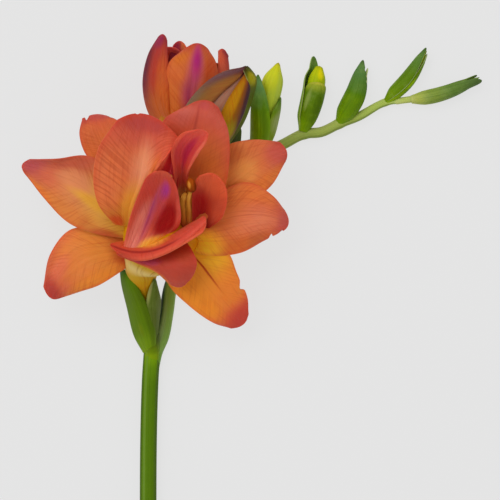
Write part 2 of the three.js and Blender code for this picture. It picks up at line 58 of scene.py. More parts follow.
# ---- driving sizes, in millimetres --------------------------------------------------------------
STALK_RADIUS = 2.05
STALK_SIDES = 12  # of the solid stalk in the frame, which stands on one of them
STALK_BELOW_JOINT = 124.0  # from the joint, where the first flower leaves, down to the cut
STALK_LEAN = 0.6  # how far the cut end lies to the left of the joint
PETAL_THICK = 0.5
BRACT_THICK = 0.45
MARGIN_THIN = 0.35  # thickness of a petal's rim, as a share of its middle

# ---- how sheets are shaped, in shares of their width and length where nothing else is said ------
RIM_SIDE = 0.08  # over which the sides thin to the rim
RIM_TIP = 0.05  # over which the tip does
FURROW = 0.04  # half width of a midrib's furrow
FURROW_START = 0.15  # over which it deepens from the root
SIDE_FADE = 6  # power of a nick's fade inward from a side
TIP_FADE = 12  # and from the tip
RUFFLES = (7.0, 1.5)  # grains of a petal edge's unrest, to the length and to half the width
RUFFLE_START = (0.1, 0.4)  # between which it sets in
PLEATS = (9.0, 1.5)  # grains of a petal's relief, to half the width and to the length
LEAF_GRAINS = (7.0, 2.0)  # the same of a wrapped leaf
LEAF_RELIEF = 0.05  # height of its relief, in millimetres
LEAF_BLUNT = 0.002  # the square of its width at the tip
LEAF_START = (-0.05, 0.2)  # between which it comes off the rod
TEPAL_GRAINS = (6.0, 1.5)  # and of a bud's tepal, to the whole width and to the length
TEPAL_RELIEF = 0.12  # height of its relief, in millimetres
LIP_FADE = 6  # power of its rolled edge's fade inward

# ---- how pieces are made ------------------------------------------------------------------------
SMOOTH_ANGLE = math.radians(60)  # edges sharper than this stay sharp
MERGE = 1e-6  # metres between points that are one


def joint_place() -> Vector:
    """Finds the joint, from which every point of the flower is measured, in the row frame.

    Returns:
        The joint's place in millimetres.
    """
    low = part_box("stem")[0] / MM
    reach = STALK_RADIUS * math.cos(math.pi / STALK_SIDES)
    return Vector((low.x + STALK_LEAN + reach, low.y + STALK_BELOW_JOINT, 0.0))


JOINT = joint_place()


class Slot(Enum):
    """The record's material slots."""

    STEM = "stem_green"
    PETAL = "petal_orange"
    SCARLET = "petal_scarlet"
    MAUVE = "bud_mauve"
    YELLOW = "bud_yellow"
    BRACT = "bract_green"
    GOLD = "style_gold"


# ---- lines and surfaces -------------------------------------------------------------------------
class Rail:
    """A smooth line through a few points, as a thin batten lies through them."""

    def __init__(self, points: Sequence[Point]) -> None:
        """Takes the points that the line passes through, in millimetres from the joint."""
        inner = [Vector(p) for p in points]
        self.points = [2 * inner[0] - inner[1], *inner, 2 * inner[-1] - inner[-2]]

    def at(self, share: float) -> Vector:
        """Gives a point of the line.

        Args:
            share: 0 at its start and 1 at its end, the same for every span.

        Returns:
            The point in millimetres.
        """
        spans = len(self.points) - 3
        place = min(max(share, 0.0), 1.0) * spans
        index = min(int(place), spans - 1)
        return self._on_span(index, place - index)

    def _on_span(self, index: int, share: float) -> Vector:
        """Gives the point at a share of one span, by the centripetal rule.

        Args:
            index: the span, 0 for the first.
            share: the share of that span.

        Returns:
            The point in millimetres.
        """
        a, b, c, d = self.points[index : index + 4]
        first, middle, last = ((q - p).length ** 0.5 for p, q in ((a, b), (b, c), (c, d)))
        leave = ((b - a) / first - (c - a) / (first + middle) + (c - b) / middle) * middle
        reach = ((c - b) / middle - (d - b) / (middle + last) + (d - c) / last) * middle
        square, cube = share**2, share**3
        return (
            b
            + leave * share
            + (3 * (c - b) - 2 * leave - reach) * square
            + (2 * (b - c) + leave + reach) * cube
        )

    def along(self, share: float) -> Vector:
        """Gives the line's direction at a share of it."""
        step = 1e-3
        return (self.at(share + step) - self.at(share - step)).normalized()

    def length(self) -> float:
        """Gives the line's length.

        Returns:
            The length in millimetres.
        """
        steps = 100
        points = [self.at(i / steps) for i in range(steps + 1)]
        return sum((q - p).length for p, q in zip(points, points[1:]))


def blend_values(values: Sequence[float], share: float) -> float:
    """Gives a value on the smooth curve through a list of values.

    Args:
        values: the values, evenly spaced.
        share: the share of the way along the list.

    Returns:
        The value there.
    """
    place = min(max(share, 0.0), 1.0) * (len(values) - 1)
    index = min(int(place), len(values) - 2)
    s = place - index
    last = len(values) - 1
    a, b, c, d = (values[min(max(index + k, 0), last)] for k in (-1, 0, 1, 2))
    leave, reach = (c - a) / 2, (d - b) / 2
    square = (3 * (c - b) - 2 * leave - reach) * s**2
    return (2 * (b - c) + leave + reach) * s**3 + square + leave * s + b


def smooth_step(low: float, high: float, value: float) -> float:
    """Gives 0 below low, 1 above high and a smooth rise between them."""
    share = min(max((value - low) / (high - low), 0.0), 1.0)
    return share * share * (3 - 2 * share)


class Edge(Enum):
    """The edges of a petal, by the sign of the way across it."""

    LEFT = -1
    TIP = 0
    RIGHT = 1


@dataclass(frozen=True)
class Nick:
    """A small tear in a petal's margin: its edge, its place along that edge, depth and width."""

    edge: Edge
    place: float
    depth: float
    width: float = 0.02

    def bite(self, place: float) -> float:
        """Gives the share of the petal that is missing at a place along the edge."""
        return self.depth * math.exp(-(((place - self.place) / self.width) ** 2))


@dataclass(frozen=True)
class Petal:
    """A petal or bract hung on three rails, from root to tip: both edges and the midrib."""

    name: str
    left: tuple[Point, ...]
    mid: tuple[Point, ...]
    right: tuple[Point, ...]
    wave: float = 0.0  # how far the edges rise and fall, more toward the tip
    waves: float = 2.0
    ruffle: float = 0.2  # fine unrest of the edges
    groove: float = 0.25  # depth of the midrib's furrow
    groove_at: float = 0.5  # its place across the petal
    pleat: float = 0.06  # lengthwise relief
    nicks: tuple[Nick, ...] = ()
    thick: float = PETAL_THICK
    rows: int = 72
    columns: int = 44

    def surface(self) -> Surface:
        """Gives the petal's middle surface.

        Returns:
            Its points, over u from edge to edge and v from root to tip.
        """
        edge, rib, other = (Rail(points) for points in (self.left, self.mid, self.right))
        seed = float(sum(map(ord, self.name)) % 97)
        rows: dict[float, tuple[Vector, Vector, Vector]] = {}

        def at(u: float, v: float) -> Vector:
            """Gives the point at a place on it.

            Args:
                u: the share across, from left to right.
                v: the share along, from root to tip.

            Returns:
                The point, in millimetres from the joint.
            """
            for nick in self.nicks:
                if nick.edge is Edge.TIP:
                    v *= 1 - nick.bite(u) * v**TIP_FADE
            if v not in rows:
                rows[v] = (edge.at(v), rib.at(v), other.at(v))
            left, mid, right = rows[v]
            s = 2 * u - 1
            for nick in self.nicks:
                if s * nick.edge.value > 0:
                    s *= 1 - nick.bite(v) * abs(s) ** SIDE_FADE
            point = left * (s * (s - 1) / 2) + mid * (1 - s * s) + right * (s * (s + 1) / 2)
            phase = (self.waves * v + s / 4) * 2 * math.pi
            lift = self.wave * abs(s) ** 3 * v * math.sin(phase)
            unrest = noise.noise(Vector((v * RUFFLES[0] + seed, s * RUFFLES[1], seed)))
            lift += self.ruffle * 2 * unrest * abs(s) ** 2 * smooth_step(*RUFFLE_START, v)
            off_groove = (u - self.groove_at) / FURROW
            deep = math.exp(-(off_groove**2)) * smooth_step(0.0, FURROW_START, v) * (1 - v)
            lift -= self.groove * deep
            lift += self.pleat * noise.noise(Vector((s * PLEATS[0], v * PLEATS[1], seed))) * 2
            return point + UP * lift

        return at


@dataclass(frozen=True)
class Rod:
    """A round or flattened rod along a path, whose radius follows a list of values."""

    name: str
    path: tuple[Point, ...]
    radii: tuple[float, ...]
    depth: float = 1.0
    cap: float = 0.04  # share of the length over which an end closes
    blunt: bool = False  # the ends are cut flat, and round otherwise
    rows: int = 60
    columns: int = 32

    def radius(self, share: float) -> float:
        """Gives the radius at a share of the rod's length."""
        return blend_values(self.radii, share)

    def surface(self, relief: Callable[[float, float], float] | None = None) -> Surface:
        """Gives the rod's closed skin.

        Args:
            relief: the height over the plain skin, in millimetres, by angle and share.

        Returns:
            Its points, over u once round it and v from end to end.
        """
        line = Rail(self.path)
        rows: dict[float, tuple[Vector, Vector, Vector, float, float]] = {}

        def at(u: float, v: float) -> Vector:
            """Gives the point at a place on it.

            Args:
                u: the share of the way round it, from the underside.
                v: the share along, from end to end.

            Returns:
                The point, in millimetres from the joint.
            """
            if v not in rows:
                near = min(v, 1 - v) / self.cap
                closing = math.sqrt(max(1 - (1 - near) ** 2, 0.0)) if near < 1 else 1.0
                share = v
                if self.blunt:
                    closing = min(near, 1.0)
                    share = min(max((v - self.cap) / (1 - 2 * self.cap), 0.0), 1.0)
                along = line.along(share)
                side = along.cross(UP).normalized()
                rows[v] = (line.at(share), side, side.cross(along), share, closing)
            centre, side, rise, share, closing = rows[v]
            angle = (u - 0.25) * 2 * math.pi
            height = relief(u, share) if relief else 0.0
            r = (self.radius(share) + height) * closing
            return centre + side * (r * math.cos(angle)) + rise * (r * self.depth * math.sin(angle))

        return at


@dataclass(frozen=True)
class Wrap:
    """A leaf that wraps a rod: it covers a wedge of directions round it and ends in a point."""

    name: str
    around: Rod
    facing: float  # 0 is the rod's right side and 90 the side that faces up, in degrees
    reach: float  # to either side, in degrees
    length: float  # a share of the rod's length
    lift: float  # how far it stands off the rod
    start: float = 0.0
    point: float = 2.2  # a larger value keeps it broad further up
    lean: float = 0.0  # how far it turns round the rod on its way up, in degrees
    hug: float = 1.0  # share of the rod past which it keeps its width instead of following the rod
    drift: Point = (0.0, 0.0, 0.0)  # how far its tip strays from the rod's line
    nicks: tuple[Nick, ...] = ()  # in its sides
    thick: float = 0.34
    rows: int = 56
    columns: int = 48

    def surface(self) -> Surface:
        """Gives the leaf's middle surface.

        Returns:
            Its points, over u from edge to edge and v from root to tip.
        """
        drift = Vector(self.drift)
        line = Rail(self.around.path)
        whole = line.length()
        seed = float(sum(map(ord, self.name)) % 89)

        def at(u: float, v: float) -> Vector:
            """Gives the point at a place on it.

            Args:
                u: the share across, from edge to edge.
                v: the share along, from root to tip.

            Returns:
                The point, in millimetres from the joint.
            """
            s = 2 * u - 1
            for nick in self.nicks:
                if s * nick.edge.value > 0:
                    s *= 1 - nick.bite(v) * abs(s) ** SIDE_FADE
            reached = self.start + v * (self.length - self.start)
            share = min(reached, 1.0)
            along = line.along(share)
            side = along.cross(UP).normalized()
            rise = side.cross(along)
            opening = self.reach * math.sqrt(max(1 - v**self.point, LEAF_BLUNT))
            angle = math.radians(self.facing + self.lean * v - s * opening)
            r = self.around.radius(min(share, self.hug)) + self.lift * smooth_step(*LEAF_START, v)
            grain = Vector((s * LEAF_GRAINS[0], v * LEAF_GRAINS[1], seed))
            r += LEAF_RELIEF * noise.noise(grain)
            out = along * (max(reached - 1, 0.0) * whole)
            around = side * (r * math.cos(angle)) + rise * (r * self.around.depth * math.sin(angle))
            return line.at(share) + out + around + drift * v**3

        return at


@dataclass(frozen=True)
class Shell:
    """A tepal of a closed bud: it lies on a rod between two edges, given as angles round it."""

    name: str
    around: Rod
    left: tuple[float, ...]  # degrees, from root to tip: 0 is the rod's right side, 90 faces up
    right: tuple[float, ...]
    lift: float  # how far it stands off the rod
    start: float  # a share of the rod's length
    lip: float = 0.25  # how far its edges roll outward
    thick: float = BRACT_THICK
    rows: int = 60
    columns: int = 40

    def surface(self) -> Surface:
        """Gives the tepal's middle surface.

        Returns:
            Its points, over u from edge to edge and v from root to tip.
        """
        line = Rail(self.around.path)
        seed = float(sum(map(ord, self.name)) % 83)

        def at(u: float, v: float) -> Vector:
            """Gives the point at a place on it.

            Args:
                u: the share across, from edge to edge.
                v: the share along, from root to tip.

            Returns:
                The point, in millimetres from the joint.
            """
            share = self.start + v * (1 - self.start)
            along = line.along(share)
            side = along.cross(UP).normalized()
            rise = side.cross(along)
            left, right = blend_values(self.left, v), blend_values(self.right, v)
            angle = math.radians(left + (right - left) * u)
            s = abs(2 * u - 1)
            r = self.around.radius(share) + self.lift
            r += self.lip * s**LIP_FADE * math.sin(math.pi * v)
            grain = Vector((u * TEPAL_GRAINS[0], v * TEPAL_GRAINS[1], seed))
            r += TEPAL_RELIEF * noise.noise(grain)
            height = r * self.around.depth * math.sin(angle)
            return line.at(share) + side * (r * math.cos(angle)) + rise * height

        return at


# ---- pieces -------------------------------------------------------------------------------------
def select_only(piece: bpy.types.Object) -> None:
    """Makes a piece the only selected one, and the active one.

    Args:
        piece: the piece.
    """
    bpy.ops.object.select_all(action="DESELECT")
    piece.select_set(True)
    bpy.context.view_layer.objects.active = piece


def grid_piece(name: str, surface: Surface, rows: int, columns: int) -> bpy.types.Object:
    """Lays a fine grid over a surface.

    Args:
        name: the piece's name.
        surface: the place of each point of the grid, in millimetres from the joint.
        rows: faces from root to tip.
        columns: faces from edge to edge.

    Returns:
        The piece, with a UV map of u across and v along.
    """
    bpy.ops.object.select_all(action="DESELECT")
    bpy.ops.mesh.primitive_grid_add(x_subdivisions=columns, y_subdivisions=rows, size=1.0)
    piece = bpy.context.object
    piece.name = name
    piece.data.name = name
    for vertex in piece.data.vertices:
        u, v = vertex.co.x + 0.5, vertex.co.y + 0.5
        vertex.co = (JOINT + surface(u, v)) * MM
    piece.data.update()
    return piece


def sheet_piece(leaf: Petal | Wrap | Shell) -> bpy.types.Object:
    """Makes a leaf or petal: a grid with a thickness that thins toward its rim.

    Args:
        leaf: its middle surface and sizes.

    Returns:
        The closed piece.
    """
    piece = grid_piece(leaf.name, leaf.surface(), leaf.rows, leaf.columns)
    group = piece.vertex_groups.new(name="thickness")
    uv = {}
    layer = piece.data.uv_layers.active.data
    for loop in piece.data.loops:
        uv[loop.vertex_index] = layer[loop.index].uv.copy()
    for index, (u, v) in uv.items():
        rim = min(min(u, 1 - u) / RIM_SIDE, (1 - v) / RIM_TIP, 1.0)
        share = MARGIN_THIN + (1 - MARGIN_THIN) * math.sin(rim * math.pi / 2)
        group.add([index], share, "REPLACE")
    solidify = piece.modifiers.new("thickness", "SOLIDIFY")
    solidify.thickness = leaf.thick * MM
    solidify.offset = 0.0
    solidify.vertex_group = group.name
    select_only(piece)
    bpy.ops.object.modifier_apply(modifier=solidify.name)
    piece.vertex_groups.clear()
    face_out(piece)
    return piece


def face_out(piece: bpy.types.Object) -> None:
    """Turns a closed piece's faces outward and shades it smooth.

    Args:
        piece: the piece.
    """
    select_only(piece)
    bpy.ops.object.mode_set(mode="EDIT")
    bpy.ops.mesh.select_all(action="SELECT")
    bpy.ops.mesh.normals_make_consistent(inside=False)
    bpy.ops.object.mode_set(mode="OBJECT")
    bpy.ops.object.shade_smooth_by_angle(angle=SMOOTH_ANGLE)


def rod_piece(rod: Rod, relief: Callable[[float, float], float] | None = None) -> bpy.types.Object:
    """Makes a closed rod: a grid rolled up, with its seam and its two poles merged.

    Args:
        rod: the rod's path and sizes.
        relief: the height over its plain skin.

    Returns:
        The closed piece.
    """
    piece = grid_piece(rod.name, rod.surface(relief), rod.rows, rod.columns)
    select_only(piece)
    bpy.ops.object.mode_set(mode="EDIT")
    bpy.ops.mesh.select_all(action="SELECT")
    bpy.ops.mesh.remove_doubles(threshold=MERGE)
    bpy.ops.object.mode_set(mode="OBJECT")
    face_out(piece)
    return piece


def hand_over(piece: bpy.types.Object, node: str, material: bpy.types.Material) -> None:
    """Dresses a piece, and has it stand for its node in the frame.

    Args:
        piece: the finished piece.
        node: the solid that it replaces.
        material: its finish.
    """
    piece.data.materials.clear()
    piece.data.materials.append(material)
    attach(piece, "root")
    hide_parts(node)
    LOG.info("%s stands for %s with %d faces", piece.name, node, len(piece.data.polygons))


# ---- finishes -----------------------------------------------------------------------------------
def colour(code: str) -> tuple[float, float, float, float]:
    """Turns a colour code such as #d2592c into linear values.

    Args:
        code: the code, as used for screens.

    Returns:
        Red, green, blue and alpha.
    """

    def linear(part: str) -> float:
        """Turns two digits into a linear value."""
        value = int(part, 16) / 255
        return value / 12.92 if value <= 0.04045 else ((value + 0.055) / 1.055) ** 2.4

    return linear(code[1:3]), linear(code[3:5]), linear(code[5:7]), 1.0


@dataclass(frozen=True)
class Patch:
    """A soft-edged patch of colour, some of them painted light and shade: its place and reach in the piece's
    own UV map.
    """

    colour: str
    u: float
    v: float
    across: float
    along: float
    strength: float = 1.0
    lean: float = 0.0  # degrees
    soft: float = 0.7  # share of its reach over which it fades


@dataclass(frozen=True)
class Skin:
    """How one kind of skin takes the light."""

    cells: float  # skin cells to a metre
    relief: float  # how high its veins stand, in millimetres
    sheen: float
    scatter: Point  # how far red, green and blue light travel under it, as shares of the reach
    reach: float  # millimetres


PETAL_SKIN = Skin(cells=1800.0, relief=0.09, sheen=0.11, scatter=(1.0, 0.4, 0.2), reach=1.2)
LEAF_SKIN = Skin(cells=2200.0, relief=0.1, sheen=0.09, scatter=(0.4, 1.0, 0.1), reach=0.6)
LEAF_GLOW = 0.05  # share of the light that passes under a leaf's skin
CELL_RELIEF = 0.3  # height of the cells, as a share of the veins'

VEINS_ACROSS = 34.0  # lengthwise veins from one edge of a petal to the other
VEIN_BREAKS = 2.2  # about how often one changes from root to tip
FEATHERS_ALONG = 46.0  # oblique veins from root to tip
FEATHER_BREAKS = 2.6
FEATHER_SLANT = 0.3  # how far they climb on their way to the edges, as a share of the length
FEATHER_SEED = 5
RIB_BREAKS = 1.2  # about how often a leaf's rib changes from root to tip
MOTTLE_GRAINS = 260.0  # to a metre
MOTTLE = "#ffd9b0"
BLOOM_GRAINS = 420.0  # to a metre
BLOOM = "#8fae66"


class Brush:
    """Builds one material, node by node."""

    def __init__(self, name: str) -> None:
        """Starts a material with a principled shader.

        Args:
            name: the material's name.
        """
        self.material = bpy.data.materials.new(name)
        self.material.use_nodes = True
        self.tree = self.material.node_tree
        self.shader = self.tree.nodes["Principled BSDF"]
        self.uv = self.node("ShaderNodeUVMap", uv_map="UVMap").outputs["UV"]
        self.place = self.node("ShaderNodeTexCoord").outputs["Object"]
        split = self.node("ShaderNodeSeparateXYZ")
        self.tree.links.new(self.uv, split.inputs[0])
        self.across, self.along = split.outputs["X"], split.outputs["Y"]

    def node(self, kind: str, **settings: object) -> bpy.types.Node:
        """Adds a node and sets it up.

        Args:
            kind: the node's type.
            **settings: its settings, by name.

        Returns:
            The node.
        """
        node = self.tree.nodes.new(kind)
        for name, value in settings.items():
            setattr(node, name, value)
        return node

    def feed(self, socket: Socket, value: Socket | float | Sequence[float]) -> None:
        """Links a socket to another, or sets its value.

        Args:
            socket: the input.
            value: the output to link it to, or the value.
        """
        if isinstance(value, bpy.types.NodeSocket):
            self.tree.links.new(value, socket)
        else:
            socket.default_value = value

    def math(self, operation: str, *values: Socket | float) -> Socket:
        """Adds a math node.

        Args:
            operation: what it works out.
            *values: its inputs.

        Returns:
            The result.
        """
        node = self.node("ShaderNodeMath", operation=operation)
        for socket, value in zip(node.inputs, values):
            self.feed(socket, value)
        return node.outputs[0]

    def vector(self, x: Socket | float, y: Socket | float, z: Socket | float) -> Socket:
        """Makes a vector.

        Args:
            x: its first part.
            y: its second part.
            z: its third part.

        Returns:
            The vector.
        """
        node = self.node("ShaderNodeCombineXYZ")
        for socket, value in zip(node.inputs, (x, y, z)):
            self.feed(socket, value)
        return node.outputs[0]

    def rise(self, value: Socket, low: float, high: float, top: float = 1.0) -> Socket:
        """Maps a value to a smooth rise.

        Args:
            value: the value.
            low: where the rise starts, at 0.
            high: where it ends.
            top: its end's height.

        Returns:
            The height of the rise at the value.
        """
        node = self.node("ShaderNodeMapRange", interpolation_type="SMOOTHSTEP")
        for name, part in (("Value", value), ("From Min", low), ("From Max", high), ("To Max", top)):
            self.feed(node.inputs[name], part)
        return node.outputs["Result"]

    def mix(
        self,
        share: Socket | float,
        under: Socket | Sequence[float],
        over: Socket | Sequence[float],
        way: str = "MIX",
    ) -> Socket:
        """Mixes two colours.

        Args:
            share: the share of the upper colour.
            under: the lower colour.
            over: the upper colour.
            way: the way they are mixed.

        Returns:
            The mixed colour.
        """
        node = self.node("ShaderNodeMix", data_type="RGBA", blend_type=way, clamp_factor=True)
        for index, value in ((0, share), (6, under), (7, over)):
            self.feed(node.inputs[index], value)
        return node.outputs[2]

    def noise(self, vector: Socket, scale: float, detail: float = 2.0, roughness: float = 0.5) -> Socket:
        """Adds a noise texture.

        Args:
            vector: where it is read.
            scale: the number of its grains to a metre, or to a unit of the vector.
            detail: the number of finer layers.
            roughness: how much the finer layers count.

        Returns:
            Its value, from 0 to 1.
        """
        node = self.node("ShaderNodeTexNoise")
        inputs = (("Vector", vector), ("Scale", scale), ("Detail", detail), ("Roughness", roughness))
        for name, value in inputs:
            self.feed(node.inputs[name], value)
        return node.outputs["Fac"]

    def veins(
        self,
        across: Socket,
        count: float,
        along: Socket,
        breaks: float,
        seed: float,
        detail: float = 2.0,
        roughness: float = 0.5,
    ) -> Socket:
        """Adds noise that is drawn out into veins.

        Args:
            across: the way across the veins, from 0 to 1.
            count: about how many lie on it.
            along: the way along them, from 0 to 1.
            breaks: about how often one changes on it.
            seed: tells two materials' veins apart.
            detail: the number of finer layers.
            roughness: how much the finer layers count.

        Returns:
            Its value, from 0 to 1.
        """
        x = self.math("MULTIPLY", across, count)
        y = self.math("MULTIPLY", along, breaks)
        return self.noise(self.vector(x, y, seed), 1.0, detail, roughness)

    def off_rib(self) -> Socket:
        """Gives the way from the midrib, at 0, to either edge, at 1."""
        return self.math("ABSOLUTE", self.math("MULTIPLY_ADD", self.across, 2.0, -1.0))

    def ramp(self, value: Socket, stops: Sequence[tuple[float, str]]) -> Socket:
        """Adds a colour ramp.

        Args:
            value: where it is read, from 0 to 1.
            stops: the places and colours that it passes through.

        Returns:
            The colour at the value.
        """
        node = self.node("ShaderNodeValToRGB")
        node.color_ramp.interpolation = "EASE"
        elements = node.color_ramp.elements
        while len(elements) < len(stops):
            elements.new(0.5)
        while len(elements) > len(stops):
            elements.remove(elements[-1])
        for element, (place, code) in zip(elements, stops):
            element.position = place
            element.color = colour(code)
        self.feed(node.inputs[0], value)
        return node.outputs["Color"]

    def tone(self, shade: Socket, gain: float, depth: float, hue: float = 0.5) -> Socket:
        """Tones a colour.

        Args:
            shade: the colour.
            gain: lightens it above 1, and darkens it below.
            depth: strengthens it above 1, and weakens it below.
            hue: turns its hue away from 0.5.

        Returns:
            The toned colour.
        """
        node = self.node("ShaderNodeHueSaturation")
        for name, value in (("Color", shade), ("Value", gain), ("Saturation", depth), ("Hue", hue)):
            self.feed(node.inputs[name], value)
        return node.outputs["Color"]

    def bump(self, height: Socket, distance: float) -> None:
        """Raises the surface.

        Args:
            height: the relief, from 0 to 1.
            distance: how high it stands, in millimetres.
        """
        node = self.node("ShaderNodeBump")
        self.feed(node.inputs["Strength"], 1.0)
        self.feed(node.inputs["Distance"], distance * MM)
        self.feed(node.inputs["Height"], height)
        self.feed(self.shader.inputs["Normal"], node.outputs["Normal"])

    def skin(self, shade: Socket, skin: Skin, roughness: float, glow: float) -> None:
        """Gives the shader its colour, and sets how the skin takes the light.

        Args:
            shade: the colour.
            skin: the kind of skin.
            roughness: how matt it is.
            glow: share of the light that passes under it.
        """
        inputs = self.shader.inputs
        self.feed(inputs["Base Color"], shade)
        inputs["Roughness"].default_value = roughness
        inputs["Specular IOR Level"].default_value = skin.sheen
        inputs["Subsurface Weight"].default_value = glow
        inputs["Subsurface Radius"].default_value = skin.scatter
        inputs["Subsurface Scale"].default_value = skin.reach * MM

    def patch(self, patch: Patch) -> Socket:
        """Gives the mask of a soft-edged patch.

        Args:
            patch: its place and reach.

        Returns:
            Its strength at each point.
        """
        mapping = self.node("ShaderNodeMapping", vector_type="TEXTURE")
        self.feed(mapping.inputs["Vector"], self.uv)
        mapping.inputs["Location"].default_value = (patch.u, patch.v, 0.0)
        mapping.inputs["Rotation"].default_value = (0.0, 0.0, math.radians(patch.lean))
        mapping.inputs["Scale"].default_value = (patch.across, patch.along, 1.0)
        ball = self.node("ShaderNodeTexGradient", gradient_type="SPHERICAL")
        self.feed(ball.inputs["Vector"], mapping.outputs["Vector"])
        return self.rise(ball.outputs["Fac"], 0.0, patch.soft, patch.strength)


@dataclass(frozen=True)
class PetalFinish:
    """The colours and veins of one petal."""

    along: tuple[tuple[float, str], ...]  # from root to tip
    patches: tuple[Patch, ...] = ()
    margin: str = "#c0442c"
    margin_strength: float = 0.35
    vein: str = "#a8341e"
    veins: float = 0.22  # strength of the lengthwise veins
    feather: float = 0.24  # strength of the oblique ones
    roughness: float = 0.55
    glow: float = 0.3  # share of the light that passes under the skin
    gain: float = 1.0  # lightens or darkens the whole
    depth: float = 1.0  # strength of its colours

    def material(self, name: str) -> bpy.types.Material:
        """Builds the finish.

        Args:
            name: the material's name.

        Returns:
            The material.
        """
        brush = Brush(name)
        shade = brush.ramp(brush.along, self.along)
        for patch in self.patches:
            shade = brush.mix(brush.patch(patch), shade, colour(patch.colour))
        off_rib = brush.off_rib()
        seed = float(sum(map(ord, name)) % 31)
        across, along = brush.across, brush.along
        long_veins = brush.veins(across, VEINS_ACROSS, along, VEIN_BREAKS, seed, 3.0, 0.6)
        slant = brush.math("SUBTRACT", along, brush.math("MULTIPLY", off_rib, FEATHER_SLANT))
        seed += FEATHER_SEED
        side_veins = brush.veins(slant, FEATHERS_ALONG, across, FEATHER_BREAKS, seed)
        dark = colour(self.vein)
        shade = brush.mix(brush.rise(long_veins, 0.5, 0.72, self.veins), shade, dark)
        feathered = brush.rise(side_veins, 0.47, 0.62, self.feather)
        feathered = brush.math("MULTIPLY", feathered, brush.rise(off_rib, 0.05, 0.5))
        shade = brush.mix(feathered, shade, dark)
        rim = brush.rise(off_rib, 0.86, 1.0, self.margin_strength)
        shade = brush.mix(rim, shade, colour(self.margin))
        tip_rim = brush.rise(brush.along, 0.95, 1.0, self.margin_strength)
        shade = brush.mix(tip_rim, shade, colour(self.margin))
        cells = brush.noise(brush.place, PETAL_SKIN.cells, 1.0)
        mottle = brush.rise(brush.noise(brush.place, MOTTLE_GRAINS, 3.0), 0.35, 0.75, 0.16)
        shade = brush.mix(mottle, shade, colour(MOTTLE), "SOFT_LIGHT")
        shade = brush.tone(shade, self.gain, self.depth)
        brush.skin(shade, PETAL_SKIN, self.roughness, self.glow)
        relief = brush.math("MULTIPLY_ADD", side_veins, 0.5, long_veins)
        relief = brush.math("MULTIPLY_ADD", cells, CELL_RELIEF, relief)
        brush.bump(relief, PETAL_SKIN.relief)
        return brush.material


@dataclass(frozen=True)
class LeafFinish:
    """The greens and fine ribs of a bract, a green bud or the stalk."""

    along: tuple[tuple[float, str], ...]  # from root to tip
    patches: tuple[Patch, ...] = ()
    rib: str = "#2f5a08"
    ribs: float = 0.3
    count: float = 26.0  # ribs from edge to edge
    margin: str = "#a9bd7a"
    margin_strength: float = 0.0
    margin_width: float = 0.1
    bloom: float = 0.25  # strength of the waxy pale bloom
    roughness: float = 0.5
    gain: float = 1.0  # lightens or darkens the whole
    depth: float = 1.16  # strength of its colours
    hue: float = 0.47  # below 0.5 the greens turn toward yellow

    def material(self, name: str) -> bpy.types.Material:
        """Builds the finish.

        Args:
            name: the material's name.

        Returns:
            The material.
        """
        brush = Brush(name)
        seed = float(sum(map(ord, name)) % 37)
        shade = brush.ramp(brush.along, self.along)
        for patch in self.patches:
            shade = brush.mix(brush.patch(patch), shade, colour(patch.colour))
        ribs = brush.veins(brush.across, self.count, brush.along, RIB_BREAKS, seed, 2.0, 0.55)
        shade = brush.mix(brush.rise(ribs, 0.48, 0.68, self.ribs), shade, colour(self.rib))
        haze = brush.noise(brush.place, BLOOM_GRAINS, 4.0, 0.6)
        shade = brush.mix(brush.rise(haze, 0.45, 0.75, self.bloom), shade, colour(BLOOM))
        rim = brush.rise(brush.off_rib(), 1 - self.margin_width, 1.0, self.margin_strength)
        shade = brush.mix(rim, shade, colour(self.margin))
        shade = brush.tone(shade, self.gain, self.depth, self.hue)
        brush.skin(shade, LEAF_SKIN, self.roughness, LEAF_GLOW)
        cells = brush.noise(brush.place, LEAF_SKIN.cells, 1.0)
        brush.bump(brush.math("MULTIPLY_ADD", cells, CELL_RELIEF, ribs), LEAF_SKIN.relief)
        return brush.material


# ---- stalk and spike ----------------------------------------------------------------------------
STALK_AXIS_UP = STALK_RADIUS * math.cos(math.pi / STALK_SIDES)


